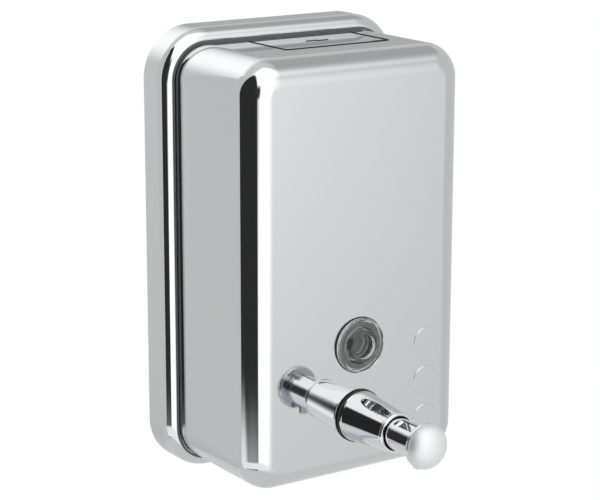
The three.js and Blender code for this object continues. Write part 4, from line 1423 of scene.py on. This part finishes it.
@dataclass(frozen=True)
class Panel:
    """A rounded, soft-edged patch of the surroundings that polished metal mirrors: a lamp or a card.

    Angles are in degrees. The azimuth is 0 straight in front of the dispenser and grows towards +X.
    The light is 1 for plain white, the softness is the edge's share of the half sizes, and the
    roundness is 2 for an ellipse and more for a squarer patch.
    """

    name: str
    azimuth: float
    half_width: float
    elevation: float
    half_height: float
    light: float
    softness: float
    roundness: float = 4.0

    def add_to(self, tree: Tree, azimuth: Node, elevation: Node, light: Node | float) -> Node:
        """Adds the panel over what is there.

        Args:
            tree: the world's tree.
            azimuth: gives the looked-up direction's azimuth, in radians.
            elevation: gives its elevation, in radians.
            light: gives the light so far.

        Returns:
            The node that gives the light with the panel.
        """
        parts = []
        for part, centre, half in ((azimuth, self.azimuth, self.half_width),
                                   (elevation, self.elevation, self.half_height)):
            for operation, *values in (("SUBTRACT", math.radians(centre)), ("WRAP", math.pi, -math.pi),
                                       ("ABSOLUTE",), ("DIVIDE", math.radians(half)),
                                       ("POWER", self.roundness)):
                others = {f"_{i}": value for i, value in enumerate(values, start=1)}
                part = add_node(tree, "ShaderNodeMath", {"operation": operation}, _0=part, **others)
            parts.append(part)
        total = add_node(tree, "ShaderNodeMath", {"operation": "ADD"}, _0=parts[0], _1=parts[1])
        reach = add_node(tree, "ShaderNodeMath", {"operation": "POWER"}, _0=total, _1=1 / self.roundness)
        inside = add_node(tree, "ShaderNodeMapRange", {"interpolation_type": "SMOOTHSTEP"}, Value=reach,
                          From_Min=1 - self.softness, From_Max=1 + self.softness, To_Min=1.0, To_Max=0.0)
        return add_node(tree, "ShaderNodeMix", {"data_type": "FLOAT", "label": self.name}, _0=inside,
                        _2=light, _3=self.light)


@dataclass
class Studio:
    """The camera, the floor and the surroundings: a white tent with lamps and cards in it.

    A later panel covers an earlier one. The clip distances are in metres.
    """

    azimuth: float = -33.812
    elevation: float = 13.969
    roll: float = 0.083
    focal_pixels: float = 2018.48
    image_width: float = 600.0
    sensor: float = 36.0
    distance: float = 971.076
    target: tuple[float, float, float] = (20.739, 0.0, -10.722)
    clip: tuple[float, float] = (0.05, 20.0)
    floor_drop: float = 420.0
    floor_size: float = 900.0
    floor_corner: float = 449.0
    side_card_place: tuple[float, float, float] = (-150.0, 54.0, 0.0)
    side_card_size: tuple[float, float] = (150.0, 400.0)
    side_card_light: float = 0.74
    plain_light: float = 0.88
    panels: tuple[Panel, ...] = (
        Panel("right wall", 100.0, 62.0, 20.0, 56.0, 0.74, 0.2),
        Panel("overhead card", 102.0, 40.0, 52.0, 11.0, 0.53, 0.5),
        Panel("rear card", 147.0, 15.0, 4.0, 16.0, 0.5, 0.4),
        Panel("left wall", -137.0, 30.0, 5.0, 60.0, 0.78, 0.4),
        Panel("rear lamp", -172.0, 28.0, 33.0, 14.0, 1.45, 0.8, 2.0),
        Panel("rear floor", 172.0, 44.0, -38.0, 22.0, 0.66, 0.5),
        Panel("top lamp", -22.0, 68.0, 62.0, 34.0, 1.7, 0.25),
        Panel("front lamp", 0.0, 34.0, 7.0, 24.0, 1.42, 0.34),
        Panel("key lamp", -14.0, 31.0, 16.0, 46.0, 1.75, 0.4),
        Panel("left card", -77.0, 42.5, -4.0, 64.0, 0.035, 0.06, 2.0),
        Panel("front card", -34.5, 11.0, 8.0, 18.0, 0.05, 0.45, 2.5),
        Panel("low lamp", -62.0, 66.0, -30.0, 9.5, 1.2, 0.3, 2.5),
        Panel("low left lamp", -108.0, 40.0, -28.8, 10.2, 1.15, 0.12, 2.0),
    )

    def camera(self) -> None:
        """Sets the camera where the photograph was taken from."""
        azimuth, elevation, roll = (math.radians(a) for a in (self.azimuth, self.elevation, self.roll))
        back = Vector((
            math.sin(azimuth) * math.cos(elevation),
            -math.cos(azimuth) * math.cos(elevation),
            math.sin(elevation),
        ))
        right = Vector((0, 0, 1)).cross(back).normalized()
        up = back.cross(right)
        right_rolled = math.cos(roll) * right + math.sin(roll) * up
        up_rolled = math.cos(roll) * up - math.sin(roll) * right
        data = bpy.data.cameras.new("portrait")
        data.sensor_width = self.sensor
        data.lens = self.focal_pixels / self.image_width * self.sensor
        data.clip_start, data.clip_end = self.clip
        made = bpy.data.objects.new("portrait", data)
        columns = Matrix((right_rolled, up_rolled, back)).transposed().to_4x4()
        columns.translation = (Vector(self.target) + back * self.distance) * MM
        made.matrix_world = columns
        bpy.context.collection.objects.link(made)
        bpy.context.scene.camera = made

    def board(self, name: str, corners: Sequence[Sequence[float]], title: str, ray: str, light: float,
              kind: str, **inputs: Any) -> None:
        """Puts a flat board on the stage, which glows evenly for one kind of light ray.

        Args:
            name: its name.
            corners: its corners.
            title: its material's name.
            ray: the kind of ray, as the Light Path node names it.
            light: how bright it glows.
            kind: the type name of the shader for all other rays.
            inputs: that shader's inputs, as for add_node.
        """
        material = blank_material(title)
        tree = material.node_tree
        plain = add_node(tree, kind, **inputs)
        glow = add_node(tree, "ShaderNodeEmission", Color=WHITE, Strength=light)
        path = add_node(tree, "ShaderNodeLightPath")
        mixed = add_node(tree, "ShaderNodeMixShader", _0=path.outputs[ray], _1=plain, _2=glow)
        add_node(tree, "ShaderNodeOutputMaterial", Surface=mixed)
        mesh = bmesh.new()
        mesh.faces.new([mesh.verts.new(corner) for corner in corners])
        finished(name, mesh, Coat(material))

    def boards(self) -> None:
        """Lays the pale floor, and stands a grey card beside the tray for its edge to mirror."""
        outline = rounded_outline(self.floor_size, self.floor_size, self.floor_corner, steps=32)
        # Matt white studio board; to the camera it is as white as the background.
        self.board("floor", [(x, y, -self.floor_drop) for x, y in outline], "matt white board",
                   "Is Camera Ray", 1.0, "ShaderNodeBsdfDiffuse", Color=linear("#ECECEC"))
        x, y, z = self.side_card_place
        deep, high = (size / 2 for size in self.side_card_size)
        corners = [(x, y + side_y * deep, z + side_z * high)
                   for side_y, side_z in ((-1, -1), (1, -1), (1, 1), (-1, 1))]
        # Grey card, evenly lit; only mirrored rays see it.
        self.board("side card", corners, "grey card", "Is Glossy Ray", self.side_card_light,
                   "ShaderNodeBsdfTransparent")

    def surroundings(self) -> None:
        """Makes the world: white, with the lamps and dark cards that the metal mirrors."""
        world = bpy.data.worlds.new("studio")
        bpy.context.scene.world = world
        world.use_nodes = True
        tree = world.node_tree
        tree.nodes.clear()
        place = add_node(tree, "ShaderNodeTexCoord")
        parts = add_node(tree, "ShaderNodeSeparateXYZ", Vector=place.outputs["Generated"]).outputs
        forward = add_node(tree, "ShaderNodeMath", {"operation": "MULTIPLY"}, _0=parts["Y"], _1=-1.0)
        azimuth = add_node(tree, "ShaderNodeMath", {"operation": "ARCTAN2"}, _0=parts["X"], _1=forward)
        elevation = add_node(tree, "ShaderNodeMath", {"operation": "ARCSINE"}, _0=parts["Z"])
        light: Node | float = self.plain_light
        for panel in self.panels:
            light = panel.add_to(tree, azimuth, elevation, light)
        path = add_node(tree, "ShaderNodeLightPath")
        seen = add_node(tree, "ShaderNodeMix", {"data_type": "FLOAT"}, _0=path.outputs["Is Camera Ray"],
                        _2=light, _3=1.0)
        background = add_node(tree, "ShaderNodeBackground", Color=WHITE, Strength=seen)
        add_node(tree, "ShaderNodeOutputWorld", Surface=background)

    def build(self) -> None:
        """Makes the whole studio."""
        self.camera()
        self.boards()
        self.surroundings()


def main() -> None:
    """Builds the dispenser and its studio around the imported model."""
    logging.basicConfig(level=logging.INFO, format="%(message)s")
    bpy.context.scene.view_settings.view_transform = "Standard"
    Studio().build()
    finishes = Finishes()
    BackTray(finishes).build()
    shell = FrontShell(finishes)
    pump_axis = shell.axis_of("push_knob")
    sight_axis = shell.axis_of("sight_lens")
    shell.build(pump_axis, sight_axis)
    FillerLid(finishes).build()
    WallFixing(finishes).build()
    SightGlass(finishes, sight_axis).build()
    Pump(finishes, pump_axis).build()
    LOG.info("sizes written")


if __name__ == "__main__":
    main()
